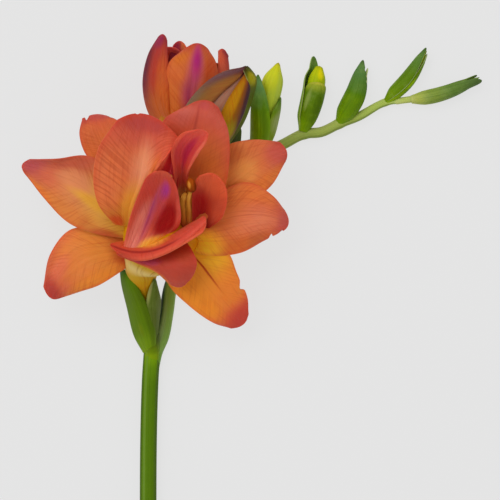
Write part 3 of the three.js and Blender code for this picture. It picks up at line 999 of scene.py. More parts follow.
@dataclass
class Stem:
    """The stalk with its bent spike, grown as one."""

    stalk: Rod = Rod(
        "stem_stalk",
        (
            (-STALK_LEAN, -STALK_BELOW_JOINT, STALK_AXIS_UP),
            (-STALK_LEAN, -84, STALK_AXIS_UP),
            (-STALK_LEAN, -24, STALK_AXIS_UP),
            (-0.2, -8, STALK_AXIS_UP),
            (0.3, 0, STALK_AXIS_UP),
        ),
        (STALK_RADIUS, STALK_RADIUS),
        cap=0.02,
        blunt=True,
        rows=160,
        columns=48,
    )
    spike: Rod = Rod(
        "stem_spike",
        (
            (0.3, -5, 1.6),
            (1.2, -0.6, 1.85),
            (2.7, 3.2, 1.75),
            (3.8, 9.1, 1.75),
            (4.6, 14.4, 1.75),
            (6.5, 20.4, 1.65),
            (8.8, 26.4, 1.6),
            (12.7, 32.4, 1.6),
            (18.7, 40.1, 1.5),
            (25.4, 46.1, 1.5),
            (32.2, 49.7, 1.5),
            (37, 52.1, 1.5),
            (41.3, 52.6, 1.5),
            (45.8, 54.7, 1.5),
            (50.4, 56.4, 1.5),
            (56.6, 59.7, 1.6),
            (61, 60.1, 1.7),
        ),
        (1.6, 1.75, 1.7, 1.45, 1.35, 1.32, 1.26, 1.22, 1.04, 0.62),
        cap=0.01,
        rows=260,
        columns=40,
    )
    bud_places: tuple[float, ...] = (0.69, 0.81, 0.94)  # shares of the spike's length
    swelling: float = 0.14  # how far the spike swells where a bud leaves it
    swelling_reach: float = 0.012  # a share of its length
    ridges: int = 7  # round the stalk
    ridge: float = 0.035  # their height
    spike_ridges: int = 5
    spike_ridge: float = 0.03
    stalk_finish: LeafFinish = LeafFinish(
        along=(
            (0.0, "#cdd6a2"),
            (0.017, "#bccb88"),
            (0.022, "#507c0c"),
            (0.7, "#528404"),
            (0.825, "#5e9206"),
            (0.9, "#70a60a"),
            (0.945, "#86b20e"),
            (0.975, "#8eb612"),
        ),
        patches=(
            # painted highlight: a grey-blue reflection along the stalk's upper left
            Patch("#7a9c58", 0.585, 0.6, 0.05, 3.0, 0.75),
            # painted shade along both sides of the round stalk
            Patch("#44680c", 0.69, 0.5, 0.07, 3.0, 0.85),
            Patch("#466c08", 0.31, 0.5, 0.09, 3.0, 0.85),
        ),
        ribs=0.2,
        count=44,
        bloom=0.06,
        gain=0.78,
        depth=1.2,
        hue=0.482,
    )
    spike_finish: LeafFinish = LeafFinish(
        along=(
            (0.0, "#648c1c"),
            (0.1, "#789640"),
            (0.3, "#7c9c3c"),
            (0.55, "#8e9e46"),
            (0.8, "#98a44a"),
            (0.93, "#a4b452"),
            (1.0, "#b4c66c"),
        ),
        patches=(
            # painted highlight on the upper left, then painted shade on the right side
            Patch("#a0a45a", 0.66, 0.7, 0.12, 0.5, 0.6),
            Patch("#6c7c24", 0.33, 0.7, 0.12, 0.6, 0.6),
            # painted highlight on the top near the foot, then painted shade: the dark band on the left side
            # beside the bract
            Patch("#8ca060", 0.55, 0.12, 0.1, 0.16, 0.7),
            Patch("#182c00", 0.72, 0.19, 0.19, 0.13, 1.0, 0, 0.5),
        ),
        ribs=0.3,
        count=40,
        bloom=0.12,
        gain=1.1,
        depth=1.0,
        hue=0.505,
    )

    def build(self) -> None:
        """Makes the stalk and the spike."""
        stalk = rod_piece(self.stalk, self._ridges)
        hand_over(stalk, "stem", self.stalk_finish.material("stem_stalk"))
        spike = rod_piece(self.spike, self._nodes)
        hand_over(spike, "stem", self.spike_finish.material("stem_spike"))

    def _ridges(self, around: float, share: float) -> float:
        """Gives the height of the stalk's faint lengthwise ridges."""
        return self.ridge * math.cos(around * 2 * math.pi * self.ridges + share) - self.ridge

    def _nodes(self, around: float, share: float) -> float:
        """Gives the height of the spike's swellings, one where each bud leaves it.

        Args:
            around: the share of the way round it.
            share: the share of its length.

        Returns:
            The height in millimetres.
        """
        ridge = self.spike_ridge * math.cos(around * 2 * math.pi * self.spike_ridges)
        swell = 0.0
        for place in self.bud_places:
            swell += math.exp(-(((share - place) / self.swelling_reach) ** 2))
        return self.swelling * swell + ridge


# ---- open flower --------------------------------------------------------------------------------
@dataclass
class OpenFlower:
    """The lowest flower, wide open and half double: tube, tepals, inner petals and petaloids."""

    tube: Rod = Rod(
        "open_flower_tube",
        (
            (0.7, 2.6, 5.2),
            (0, 7.2, 7),
            (-0.7, 12, 9.5),
            (-1.5, 15, 11.5),
            (-1.7, 17, 13),
            (-1.8, 19.7, 14.5),
            (-0.6, 22.4, 16.5),
            (1, 25.4, 18.8),
            (2.4, 27.8, 18.6),
            (5.4, 32.2, 18),
        ),
        (1.2, 1.3, 1.6, 2.3, 3.1, 4.5, 6.2, 8.2, 9.2, 8.8),
        depth=0.85,
        rows=90,
        columns=64,
    )
    tube_finish: PetalFinish = PetalFinish(
        along=(
            (0.0, "#8a7a1c"),
            (0.26, "#a8801c"),
            (0.4, "#b8821e"),
            (0.52, "#bc9438"),
            (0.6, "#d6bc7a"),
            (0.68, "#c8a03c"),
            (0.8, "#c4882a"),
            (1.0, "#c87a24"),
        ),
        margin_strength=0.0,
        vein="#98541c",
        veins=0.6,
        feather=0.0,
        gain=1.1,
        depth=1.06,
    )
    petals: tuple[Petal, ...] = (
        Petal(
            "open_flower_tepal_west",
            ((-2.4, 34.8, 20), (-9.1, 43.7, 23), (-15.1, 46.6, 23), (-22.1, 45.9, 20), (-29, 45.9, 13)),
            ((-3.6, 30.4, 17.5), (-12, 35.5, 20), (-18, 39.6, 20), (-24.5, 42.5, 16.5), (-30.9, 44.6, 10.5)),
            (
                (-4.6, 26.6, 17),
                (-13.4, 28, 19.5),
                (-19.4, 30.4, 19.5),
                (-25.3, 36.2, 16.5),
                (-30.5, 42.8, 11.5),
            ),
            wave=0.4,
        ),
        Petal(
            "open_flower_tepal_southwest",
            ((-6.6, 28.5, 16.5), (-13.2, 29.5, 18), (-19.3, 28.8, 17.5), (-24, 23.1, 15), (-25.8, 15.2, 11)),
            ((-5.3, 24, 16), (-10.6, 23.5, 17.5), (-16.3, 22.1, 18), (-21.1, 17.8, 15.5), (-24.3, 12.6, 10)),
            ((-3.8, 21.1, 15.5), (-7.2, 18.7, 16.5), (-12.2, 15.6, 17), (-17.3, 13.9, 14), (-22.2, 12.3, 10)),
            wave=0.4,
        ),
        Petal(
            "open_flower_tepal_northwest",
            ((-4.5, 33, 18.5), (-11, 42.5, 21), (-15.3, 46.8, 22), (-16.9, 51.6, 21), (-16.3, 55.6, 18)),
            ((-1, 32.5, 17.5), (-6.5, 44.5, 20), (-10.1, 50.4, 20.5), (-12, 54, 19.5), (-13, 56.6, 16.5)),
            ((3, 33, 18), (-1.2, 44.5, 20.5), (-4.8, 51.6, 21), (-7.7, 55, 20), (-10.1, 56, 17.5)),
            wave=0.4,
            nicks=(Nick(Edge.TIP, 0.16, 0.07, 0.05),),
        ),
        Petal(
            "open_flower_tepal_northeast",
            ((7.2, 38.4, 20), (13.9, 45.6, 22.5), (19, 49.3, 24), (25.2, 50.5, 21), (31, 50, 17)),
            ((9.6, 34.8, 18.5), (16.8, 38.9, 21), (22.8, 43.2, 21.5), (28.3, 46.6, 19.5), (32.8, 47.8, 15.5)),
            ((11.5, 30.7, 18), (18, 33.6, 19.5), (24.2, 35.8, 20), (29.1, 39.5, 18.5), (32.5, 45.2, 15.5)),
            wave=0.4,
        ),
        Petal(
            "open_flower_tepal_east",
            ((10.8, 34.8, 19.5), (17.3, 38.4, 22), (23.5, 40.3, 22), (29.3, 37.2, 18.5), (32.4, 33.4, 14)),
            ((10.1, 29.3, 18), (16.3, 31, 20.5), (22.3, 32.2, 21), (28.1, 32.2, 18), (33.3, 30.7, 13)),
            ((8.4, 24, 17), (14.4, 22.6, 19), (21.6, 23.3, 18.5), (27.4, 26.3, 15.5), (32.2, 28.7, 13)),
            wave=0.4,
            nicks=(Nick(Edge.RIGHT, 0.83, 0.28, 0.014), Nick(Edge.RIGHT, 0.955, 0.35, 0.018)),
        ),
        Petal(
            "open_flower_tepal_southeast",
            ((2.4, 22.1, 15), (4.6, 15.4, 16.5), (9.2, 10.7, 16.5), (14.7, 6.7, 13.5), (19.4, 5.1, 9)),
            ((7.2, 24.5, 16), (11.5, 19.7, 17.5), (16.3, 13.9, 16.5), (20.2, 9.4, 12.5), (22.3, 6, 8)),
            (
                (12.7, 26.9, 17.5),
                (18.6, 23.6, 19.5),
                (20.9, 18.4, 17.5),
                (23.3, 12.9, 14.5),
                (23.6, 8.4, 9.5),
            ),
            wave=0.4,
            groove=0.8,
            groove_at=0.57,
            nicks=(Nick(Edge.RIGHT, 0.62, 0.24, 0.034),),
        ),
        Petal(
            "open_flower_petal_left",
            ((-8.6, 30.2, 23), (-12.2, 34.8, 28), (-13.4, 40.8, 32), (-12, 48.4, 36), (-7.6, 55, 37)),
            ((-5.6, 29.9, 22), (-5, 34.5, 26), (-2.8, 41.3, 30), (-1.7, 48.5, 33.5), (-0.3, 56.2, 37)),
            ((-3.4, 30, 23), (-2.2, 34.6, 29), (0.9, 41.8, 34), (4.4, 47, 36), (6.8, 51, 36)),
            wave=0.5,
            groove=0.12,
            nicks=(Nick(Edge.TIP, 0.33, 0.016, 0.012),),
        ),
        Petal(
            "open_flower_petal_top",
            ((-1, 32.5, 20), (0.5, 43.5, 25), (1.9, 50.9, 28), (3.6, 55.3, 30), (8.5, 58.1, 31)),
            ((6, 30, 18.5), (9, 41, 24), (11, 49.2, 28.5), (12.5, 55.7, 31.5), (13.1, 59.8, 31.5)),
            ((11.5, 28.5, 20), (17.5, 37.5, 26), (19.1, 45.6, 29), (18.7, 52.8, 31), (16.6, 57.8, 31)),
            wave=0.5,
        ),
        Petal(
            "open_flower_petal_lip",
            ((-3.8, 26.4, 21), (-7.7, 25.9, 26), (-9.4, 25.2, 29), (-7.7, 23.5, 30.5), (-5.8, 22.6, 30.5)),
            ((1.2, 27.4, 20), (1.4, 25.4, 27), (1.7, 24, 30.5), (1.4, 22.6, 31.5), (1.2, 22, 31)),
            ((7.2, 28.8, 21), (11.3, 31.2, 29), (13.3, 31.9, 33), (13.6, 30.2, 34), (12.7, 28.1, 33.5)),
            wave=0.5,
        ),
        Petal(
            "open_flower_petal_lobe",
            ((-7.2, 25, 22), (-7.9, 23, 25), (-3.6, 21.1, 26.5), (1.2, 19, 26.5), (4.8, 15.8, 23.5)),
            ((1.2, 25, 21), (1.4, 22.6, 26.5), (3.6, 20.2, 28.5), (5.5, 17.5, 27), (6.7, 15.1, 23)),
            ((8.4, 26.4, 22), (10.1, 24, 27), (11.3, 21.1, 28), (10.3, 17.8, 26), (8.4, 15.6, 23.5)),
            wave=0.5,
        ),
        Petal(
            "open_flower_petaloid_striped",
            ((-6.4, 24, 27), (-4.8, 31.2, 31.5), (-2.4, 37.5, 36), (-0.5, 41.4, 39), (1.4, 42.7, 40)),
            ((-2.4, 24.4, 27.5), (0.2, 29.4, 27.5), (2.5, 34.8, 31), (4, 39.1, 35.5), (3.6, 42.7, 39.5)),
            ((4.8, 27.5, 24), (7.3, 30.4, 28), (7.2, 35.5, 33), (6.4, 39.3, 37), (5, 41.9, 39)),
        ),
        Petal(
            "open_flower_petaloid_folded",
            ((6, 37.9, 25), (5.8, 42.7, 33), (5.4, 48, 37), (7.7, 51.6, 38.5), (11.4, 52.7, 39.5)),
            ((7.6, 37, 22), (7.8, 42.7, 30), (8.9, 47.3, 34.5), (10.9, 50.2, 37.5), (13.4, 52.3, 39.5)),
            ((8.9, 38.4, 24), (9.6, 43.2, 33), (11.8, 47, 37), (13.6, 49.7, 39), (14.1, 51.4, 40)),
        ),
        Petal(
            "open_flower_petaloid_slim",
            ((0, 37.8, 26), (0.4, 41.2, 31.5), (2.2, 44, 34.5), (4, 46.4, 36), (5.4, 48.4, 37)),
            ((3, 36.6, 24), (4, 40.4, 29), (4.8, 43.5, 31.5), (5.3, 46.1, 33.5), (5.9, 48.6, 36)),
            ((6.6, 37, 24), (7, 40.8, 29), (7.1, 43.7, 31.5), (6.8, 46.3, 33.5), (6.2, 48.6, 35.5)),
            rows=48,
            columns=32,
        ),
        Petal(
            "open_flower_petaloid_round",
            ((10.2, 30.6, 20), (10.1, 34.8, 26), (10.4, 38.6, 30.5), (11.8, 41.5, 33.5), (13.9, 42.4, 34)),
            ((12.4, 29.8, 18.5), (13.4, 33.4, 23), (14.3, 37, 28), (15, 40, 32), (15.5, 42.1, 34)),
            ((14.2, 29.2, 21), (17.2, 31.6, 27.5), (18.4, 35, 31.5), (18.4, 38.4, 33.5), (17.1, 40.9, 34)),
        ),
    )
    style: Rod = Rod(
        "open_flower_style_column",
        ((8.2, 29.5, 24.5), (8, 33.2, 27), (8.1, 36, 28.8), (8.7, 37.6, 30)),
        (0.7, 0.65, 0.6, 0.6, 0.75, 0.5),
        cap=0.08,
    )
    filaments: tuple[Rod, ...] = (
        Rod(
            "open_flower_filament_right",
            ((9.1, 29.7, 24.2), (9.4, 33.2, 27), (9.3, 35.8, 29.6), (9.9, 38.4, 32.2)),
            (0.6, 0.55, 0.5, 0.45, 0.4),
        ),
        Rod(
            "open_flower_filament_left",
            ((4.2, 31, 24), (4.8, 35.2, 28), (5.1, 38.6, 33.5), (5, 41.8, 37.8)),
            (0.4, 0.35, 0.3, 0.3, 0.45, 0.5),
        ),
    )
    anther: Rod = Rod(
        "open_flower_anther",
        ((10.3, 37.7, 32), (10, 39.5, 33), (9.5, 41.2, 33.4)),
        (0.5, 1.0, 1.15, 1.1, 0.9, 0.5),
        cap=0.2,
        rows=40,
    )
    style_finish: LeafFinish = LeafFinish(
        along=((0.0, "#a0441c"), (0.25, "#bc7c24"), (0.6, "#d49830"), (0.85, "#e4ac40"), (1.0, "#cc902c")),
        rib="#9c5414",
        ribs=0.5,
        count=12,
        bloom=0.0,
        gain=0.98,
        depth=1.0,
        hue=0.494,
    )
    anther_finish: LeafFinish = LeafFinish(
        along=((0.0, "#582804"), (0.3, "#90480c"), (0.7, "#a05410"), (1.0, "#984c0c")),
        patches=(
            # painted highlight: the anther's shine
            Patch("#d8983c", 0.58, 0.62, 0.09, 0.3, 0.85),
            # painted shade on its right side
            Patch("#703004", 0.36, 0.4, 0.09, 0.5, 0.8),
        ),
        ribs=0.2,
        count=12,
        bloom=0.0,
        roughness=0.7,
        gain=1.04,
        depth=1.02,
        hue=0.488,
    )
    seam_at: float = 0.47  # the anther's seam, as a share of the way round it
    seam_width: float = 0.05
    seam_depth: float = 0.3

    def build(self) -> None:
        """Makes the tube, the petals and the style."""
        tube = rod_piece(self.tube)
        hand_over(tube, "open_flower", self.tube_finish.material(self.tube.name))
        for petal in self.petals:
            finish = PETAL_FINISHES[petal.name]
            hand_over(sheet_piece(petal), "open_flower", finish.material(petal.name))
        gold = self.style_finish.material("style_gold")
        for rod in (self.style, *self.filaments):
            hand_over(rod_piece(rod), "open_flower_style", gold)
        anther = rod_piece(self.anther, self._pollen_sacs)
        hand_over(anther, "open_flower_style", self.anther_finish.material("anther"))

    def _pollen_sacs(self, around: float, share: float) -> float:
        """Gives the height of the anther's two pollen sacs, with a seam between them."""
        return -self.seam_depth * math.exp(-(((around - self.seam_at) / self.seam_width) ** 2))


PETAL_FINISHES: dict[str, PetalFinish] = {
    "open_flower_tepal_west": PetalFinish(
        along=((0.0, "#dcae3c"), (0.25, "#dfa84c"), (0.5, "#d88a52"), (0.75, "#d0694a"), (1.0, "#b8504a")),
        patches=(
            Patch("#d5803a", 1.0, 0.55, 0.4, 0.6, 0.9),
            Patch("#c05c42", 0.08, 0.68, 0.38, 0.6, 0.95),
            # painted highlight on the fold along the middle
            Patch("#dc8c60", 0.42, 0.5, 0.2, 0.24, 0.7),
            Patch("#e4ac3c", 0.56, 0.25, 0.12, 0.36, 0.9, -6),
            Patch("#bc4a2c", 0.97, 0.17, 0.14, 0.16, 0.7),
            Patch("#b44c50", 0.3, 0.93, 0.5, 0.2, 0.8),
            Patch("#de7a30", 0.93, 0.8, 0.12, 0.18, 0.8),
        ),
        gain=0.96,
    ),
    "open_flower_tepal_southwest": PetalFinish(
        gain=1.05,
        along=((0.0, "#b8622a"), (0.3, "#d98636"), (0.6, "#d97e3c"), (0.85, "#cf6440"), (1.0, "#b8422e")),
        patches=(
            Patch("#cc6440", 0.0, 0.72, 0.25, 0.4, 0.6),
            Patch("#dc7050", 0.35, 0.74, 0.22, 0.2, 0.7),
            # painted shadow at the root, under the lip
            Patch("#a4421c", 0.7, 0.03, 0.6, 0.26, 0.95),
            Patch("#dc842c", 0.95, 0.5, 0.25, 0.5, 0.8),
            Patch("#b23c34", 0.45, 0.96, 0.6, 0.18, 0.85),
        ),
    ),
    "open_flower_tepal_northwest": PetalFinish(
        along=((0.0, "#d08a3a"), (0.5, "#d06e36"), (0.8, "#c85e3a"), (1.0, "#b04436")),
        patches=(Patch("#b84a42", 0.6, 0.95, 0.8, 0.2, 0.8), Patch("#d4703c", 0.2, 0.65, 0.3, 0.3, 0.6)),
    ),
    "open_flower_tepal_northeast": PetalFinish(
        gain=1.14,
        along=((0.0, "#d8953a"), (0.45, "#da803e"), (0.75, "#cf6c40"), (1.0, "#b5443a")),
        patches=(
            Patch("#c85448", 0.5, 0.88, 0.4, 0.24, 0.8),
            # painted shade on the left side, halfway up
            Patch("#a8441e", 0.15, 0.45, 0.25, 0.2, 0.5),
            Patch("#d8762e", 0.92, 0.66, 0.25, 0.4, 0.7),
            Patch("#e09048", 0.55, 0.5, 0.3, 0.16, 0.7),
        ),
    ),
    "open_flower_tepal_east": PetalFinish(
        gain=1.27,
        along=((0.0, "#b8602a"), (0.35, "#cc6e34"), (0.7, "#d06a44"), (0.9, "#c45a40"), (1.0, "#b04a3a")),
        patches=(
            Patch("#d87a56", 0.58, 0.64, 0.34, 0.46, 0.75, 0, 1.0),
            Patch("#b45a20", 0.95, 0.55, 0.25, 0.5, 0.7),
            Patch("#d4702e", 0.12, 0.62, 0.25, 0.3, 0.6),
            Patch("#b24a48", 0.6, 0.95, 0.6, 0.12, 0.6),
            Patch("#f0b028", 0.92, 0.14, 0.4, 0.28, 1.0),
            # painted shade at the root
            Patch("#b04a20", 0.5, 0.1, 0.2, 0.16, 0.7),
        ),
        veins=0.42,
    ),
    "open_flower_tepal_southeast": PetalFinish(
        gain=1.24,
        along=((0.0, "#c98a22"), (0.3, "#d88a2a"), (0.6, "#d97a30"), (0.8, "#d06036"), (1.0, "#b03a2c")),
        patches=(
            Patch("#dc8624", 0.12, 0.45, 0.35, 0.45, 0.8),
            Patch("#e4aa28", 0.76, 0.16, 0.3, 0.34, 0.95),
            Patch("#d87a30", 0.75, 0.5, 0.25, 0.25, 0.5),
            # painted shade: a dark red line along the crease
            Patch("#ac3c1c", 0.57, 0.26, 0.035, 0.32, 0.9, 4),
            Patch("#bc3e30", 0.62, 0.9, 0.7, 0.26, 0.9),
        ),
        feather=0.16,
    ),
    "open_flower_petal_left": PetalFinish(
        gain=1.12,
        depth=1.01,
        along=(
            (0.0, "#c0902a"),
            (0.12, "#cc8c34"),
            (0.35, "#d3823f"),
            (0.6, "#d4744a"),
            (0.85, "#c45844"),
            (1.0, "#ac3c30"),
        ),
        patches=(
            Patch("#e27c4e", 0.1, 0.46, 0.4, 0.56, 0.9, 0, 1.0),
            Patch("#cc4c2c", 0.2, 0.06, 0.3, 0.12, 0.8),
            # painted highlight along the midrib
            Patch("#e89c74", 0.56, 0.56, 0.26, 0.36, 0.95, 0, 1.0),
            Patch("#e2a03c", 0.5, 0.26, 0.26, 0.3, 0.9, 0, 0.9),
            Patch("#cc5e44", 0.9, 0.8, 0.22, 0.3, 0.8),
            Patch("#b04844", 0.5, 0.95, 0.45, 0.12, 0.8),
            # painted shade where the right edge curls in
            Patch("#8c2a1c", 0.98, 0.5, 0.14, 0.08, 0.8),
            Patch("#d87a34", 0.84, 0.56, 0.12, 0.24, 0.6, 0, 1.0),
            Patch("#843c18", 0.68, 0.37, 0.09, 0.22, 0.85, 0, 1.0),
            # painted shade on the right part, where it goes down into the throat
            Patch("#94301c", 0.87, 0.5, 0.08, 0.16, 0.85, 0, 1.0),
        ),
        feather=0.34,
    ),
    "open_flower_petal_top": PetalFinish(
        gain=1.0,
        feather=0.14,
        along=((0.0, "#c8622e"), (0.3, "#d46a36"), (0.55, "#d06040"), (0.8, "#c85a48"), (1.0, "#b84a3a")),
        patches=(
            Patch("#c4902a", 0.5, 0.08, 0.34, 0.26, 0.95),
            Patch("#bc4a50", 0.52, 0.92, 0.2, 0.1, 0.5),
            Patch("#e07c38", 0.72, 0.38, 0.34, 0.34, 0.9, 0, 1.0),
            # painted shade along a crease
            Patch("#a43c34", 0.43, 0.72, 0.04, 0.3, 0.6, 4, 1.0),
            Patch("#9c2e1c", 0.2, 0.44, 0.2, 0.2, 0.5, 0, 1.0),
            Patch("#c86658", 0.25, 0.78, 0.2, 0.2, 0.6),
        ),
    ),
    "open_flower_petal_lip": PetalFinish(
        gain=1.18,
        along=(
            (0.0, "#cc8a2c"),
            (0.3, "#c8562e"),
            (0.44, "#c04a34"),
            # painted shade: the dark band where the lip folds over
            (0.52, "#8c2420"),
            (0.6, "#bc4434"),
            (0.8, "#c8523a"),
            (1.0, "#c45a3c"),
        ),
        patches=(
            Patch("#e4a440", 0.47, 0.14, 0.28, 0.32, 0.95),
            Patch("#c85040", 0.88, 0.4, 0.3, 0.5, 0.8),
            Patch("#9c3428", 0.1, 0.8, 0.3, 0.3, 0.6, 0, 1.0),
        ),
        veins=0.5,
        feather=0.3,
    ),
    "open_flower_petal_lobe": PetalFinish(
        gain=1.14,
        along=((0.0, "#a23826"), (0.4, "#b04030"), (1.0, "#b84836")),
        patches=(
            Patch("#cc6a30", 0.12, 0.8, 0.2, 0.4, 0.9),
            Patch("#b44262", 0.3, 0.42, 0.3, 0.12, 0.75, -12),
            Patch("#b4482a", 0.85, 0.3, 0.2, 0.3, 0.6),
        ),
    ),
    "open_flower_petaloid_striped": PetalFinish(
        gain=1.17,
        along=((0.0, "#d07058"), (0.3, "#c4503e"), (0.6, "#bc4034"), (0.9, "#bc4436"), (1.0, "#c0523c")),
        patches=(
            # the petaloid's own deep crimson in its hollow, darkened as painted shade
            Patch("#8e060e", 0.74, 0.34, 0.3, 0.32, 0.97, 0, 0.6),
            Patch("#d87c6c", 0.26, 0.2, 0.2, 0.42, 0.9, 6),
            Patch("#b84450", 0.46, 0.58, 0.26, 0.36, 0.8, 5, 1.0),
            Patch("#a43488", 0.52, 0.72, 0.24, 0.2, 0.95, 0, 1.0),
            Patch("#b4506c", 0.37, 0.38, 0.13, 0.46, 0.85, 9, 1.0),
            Patch("#983468", 0.36, 0.38, 0.035, 0.42, 0.6, 9, 1.0),
            Patch("#cc5648", 1.0, 0.36, 0.1, 0.5, 0.9),
            Patch("#e8a83c", 0.68, 0.02, 0.36, 0.15, 0.97),
        ),
        veins=0.5,
    ),
    "open_flower_petaloid_folded": PetalFinish(
        gain=1.22,
        along=((0.0, "#b88038"), (0.16, "#bc4834"), (0.5, "#bc383a"), (1.0, "#c04a3c")),
        patches=(
            Patch("#a81e40", 0.5, 0.55, 0.2, 0.4, 0.85),
            Patch("#c8563c", 0.0, 0.6, 0.14, 0.4, 0.7),
            Patch("#d06850", 0.97, 0.5, 0.16, 0.5, 0.9),
        ),
    ),
    "open_flower_petaloid_slim": PetalFinish(
        gain=1.4,
        along=((0.0, "#7e1014"), (0.4, "#a81820"), (0.8, "#c02a2c"), (1.0, "#c84a34")),
        patches=(Patch("#d05a40", 0.0, 0.55, 0.24, 0.5, 0.9), Patch("#b4485a", 0.6, 0.5, 0.2, 0.3, 0.4)),
    ),
    "open_flower_petaloid_round": PetalFinish(
        gain=1.18,
        along=((0.0, "#8a1a18"), (0.35, "#b43e28"), (0.7, "#c85432"), (1.0, "#c85232")),
        # the first patch is the petaloid's own deep crimson, darkened as painted shade in its hollow
        patches=(Patch("#9c040c", 0.26, 0.26, 0.46, 0.42, 0.97), Patch("#c8583a", 0.9, 0.3, 0.3, 0.3, 0.6)),
        veins=0.4,
    ),
    "half_open_flower_tepal_left": PetalFinish(
        gain=0.88,
        depth=1.03,
        along=((0.0, "#c8702e"), (0.35, "#cc6831"), (0.6, "#bc4c30"), (0.85, "#ac3e38"), (1.0, "#842c3e")),
        patches=(
            Patch("#5a1430", 0.04, 0.62, 0.5, 0.5, 1.0, 0, 0.9),
            Patch("#cc6a38", 0.8, 0.5, 0.3, 0.54, 0.75, 0, 1.0),
            Patch("#b03c34", 0.45, 0.6, 0.2, 0.3, 0.6),
            Patch("#942e54", 0.35, 0.93, 0.4, 0.14, 0.8),
        ),
    ),
    "half_open_flower_tepal_centre": PetalFinish(
        depth=1.04,
        along=((0.0, "#c8743a"), (0.4, "#ca6e3c"), (0.75, "#c86a40"), (1.0, "#b84e3a")),
        patches=(
            Patch("#cc7434", 0.2, 0.78, 0.24, 0.16, 0.7, 0, 1.0),
            Patch("#b85034", 0.88, 0.6, 0.26, 0.4, 0.8),
            Patch("#b44c74", 0.55, 0.66, 0.24, 0.46, 0.75, 4, 1.0),
            Patch("#a62c70", 0.56, 0.76, 0.18, 0.34, 0.95, 2, 1.0),
            Patch("#a03c5c", 0.46, 0.4, 0.24, 0.3, 0.9, 16, 1.0),
        ),
    ),
    "half_open_flower_tepal_back": PetalFinish(
        gain=1.2,
        along=((0.0, "#b05030"), (0.6, "#962c3c"), (1.0, "#8e2640")),
        patches=(Patch("#c86a3c", 1.0, 0.95, 0.66, 0.3, 0.95),),
    ),
    "half_open_flower_tepal_right": PetalFinish(
        gain=1.08,
        along=((0.0, "#b85c2e"), (0.5, "#b44c2e"), (0.85, "#ac3c30"), (1.0, "#8a2c34")),
        patches=(
            Patch("#cc5c3c", 0.1, 0.85, 0.36, 0.4, 0.9, 0, 1.0),
            Patch("#7c2040", 0.8, 0.88, 0.3, 0.3, 0.8, 0, 1.0),
        ),
    ),
    "half_open_flower_tepal_under": PetalFinish(
        # the gain lifts this tepal far above its own colour: painted light where it lies in the shade of the
        # others
        gain=2.2,
        along=((0.0, "#b85c2e"), (0.5, "#b04c3c"), (0.9, "#b84c44"), (1.0, "#a04044")),
    ),
    "half_open_flower_tepal_under_right": PetalFinish(
        along=((0.0, "#b85c2e"), (0.5, "#a8503a"), (1.0, "#a0482c")),
    ),
}


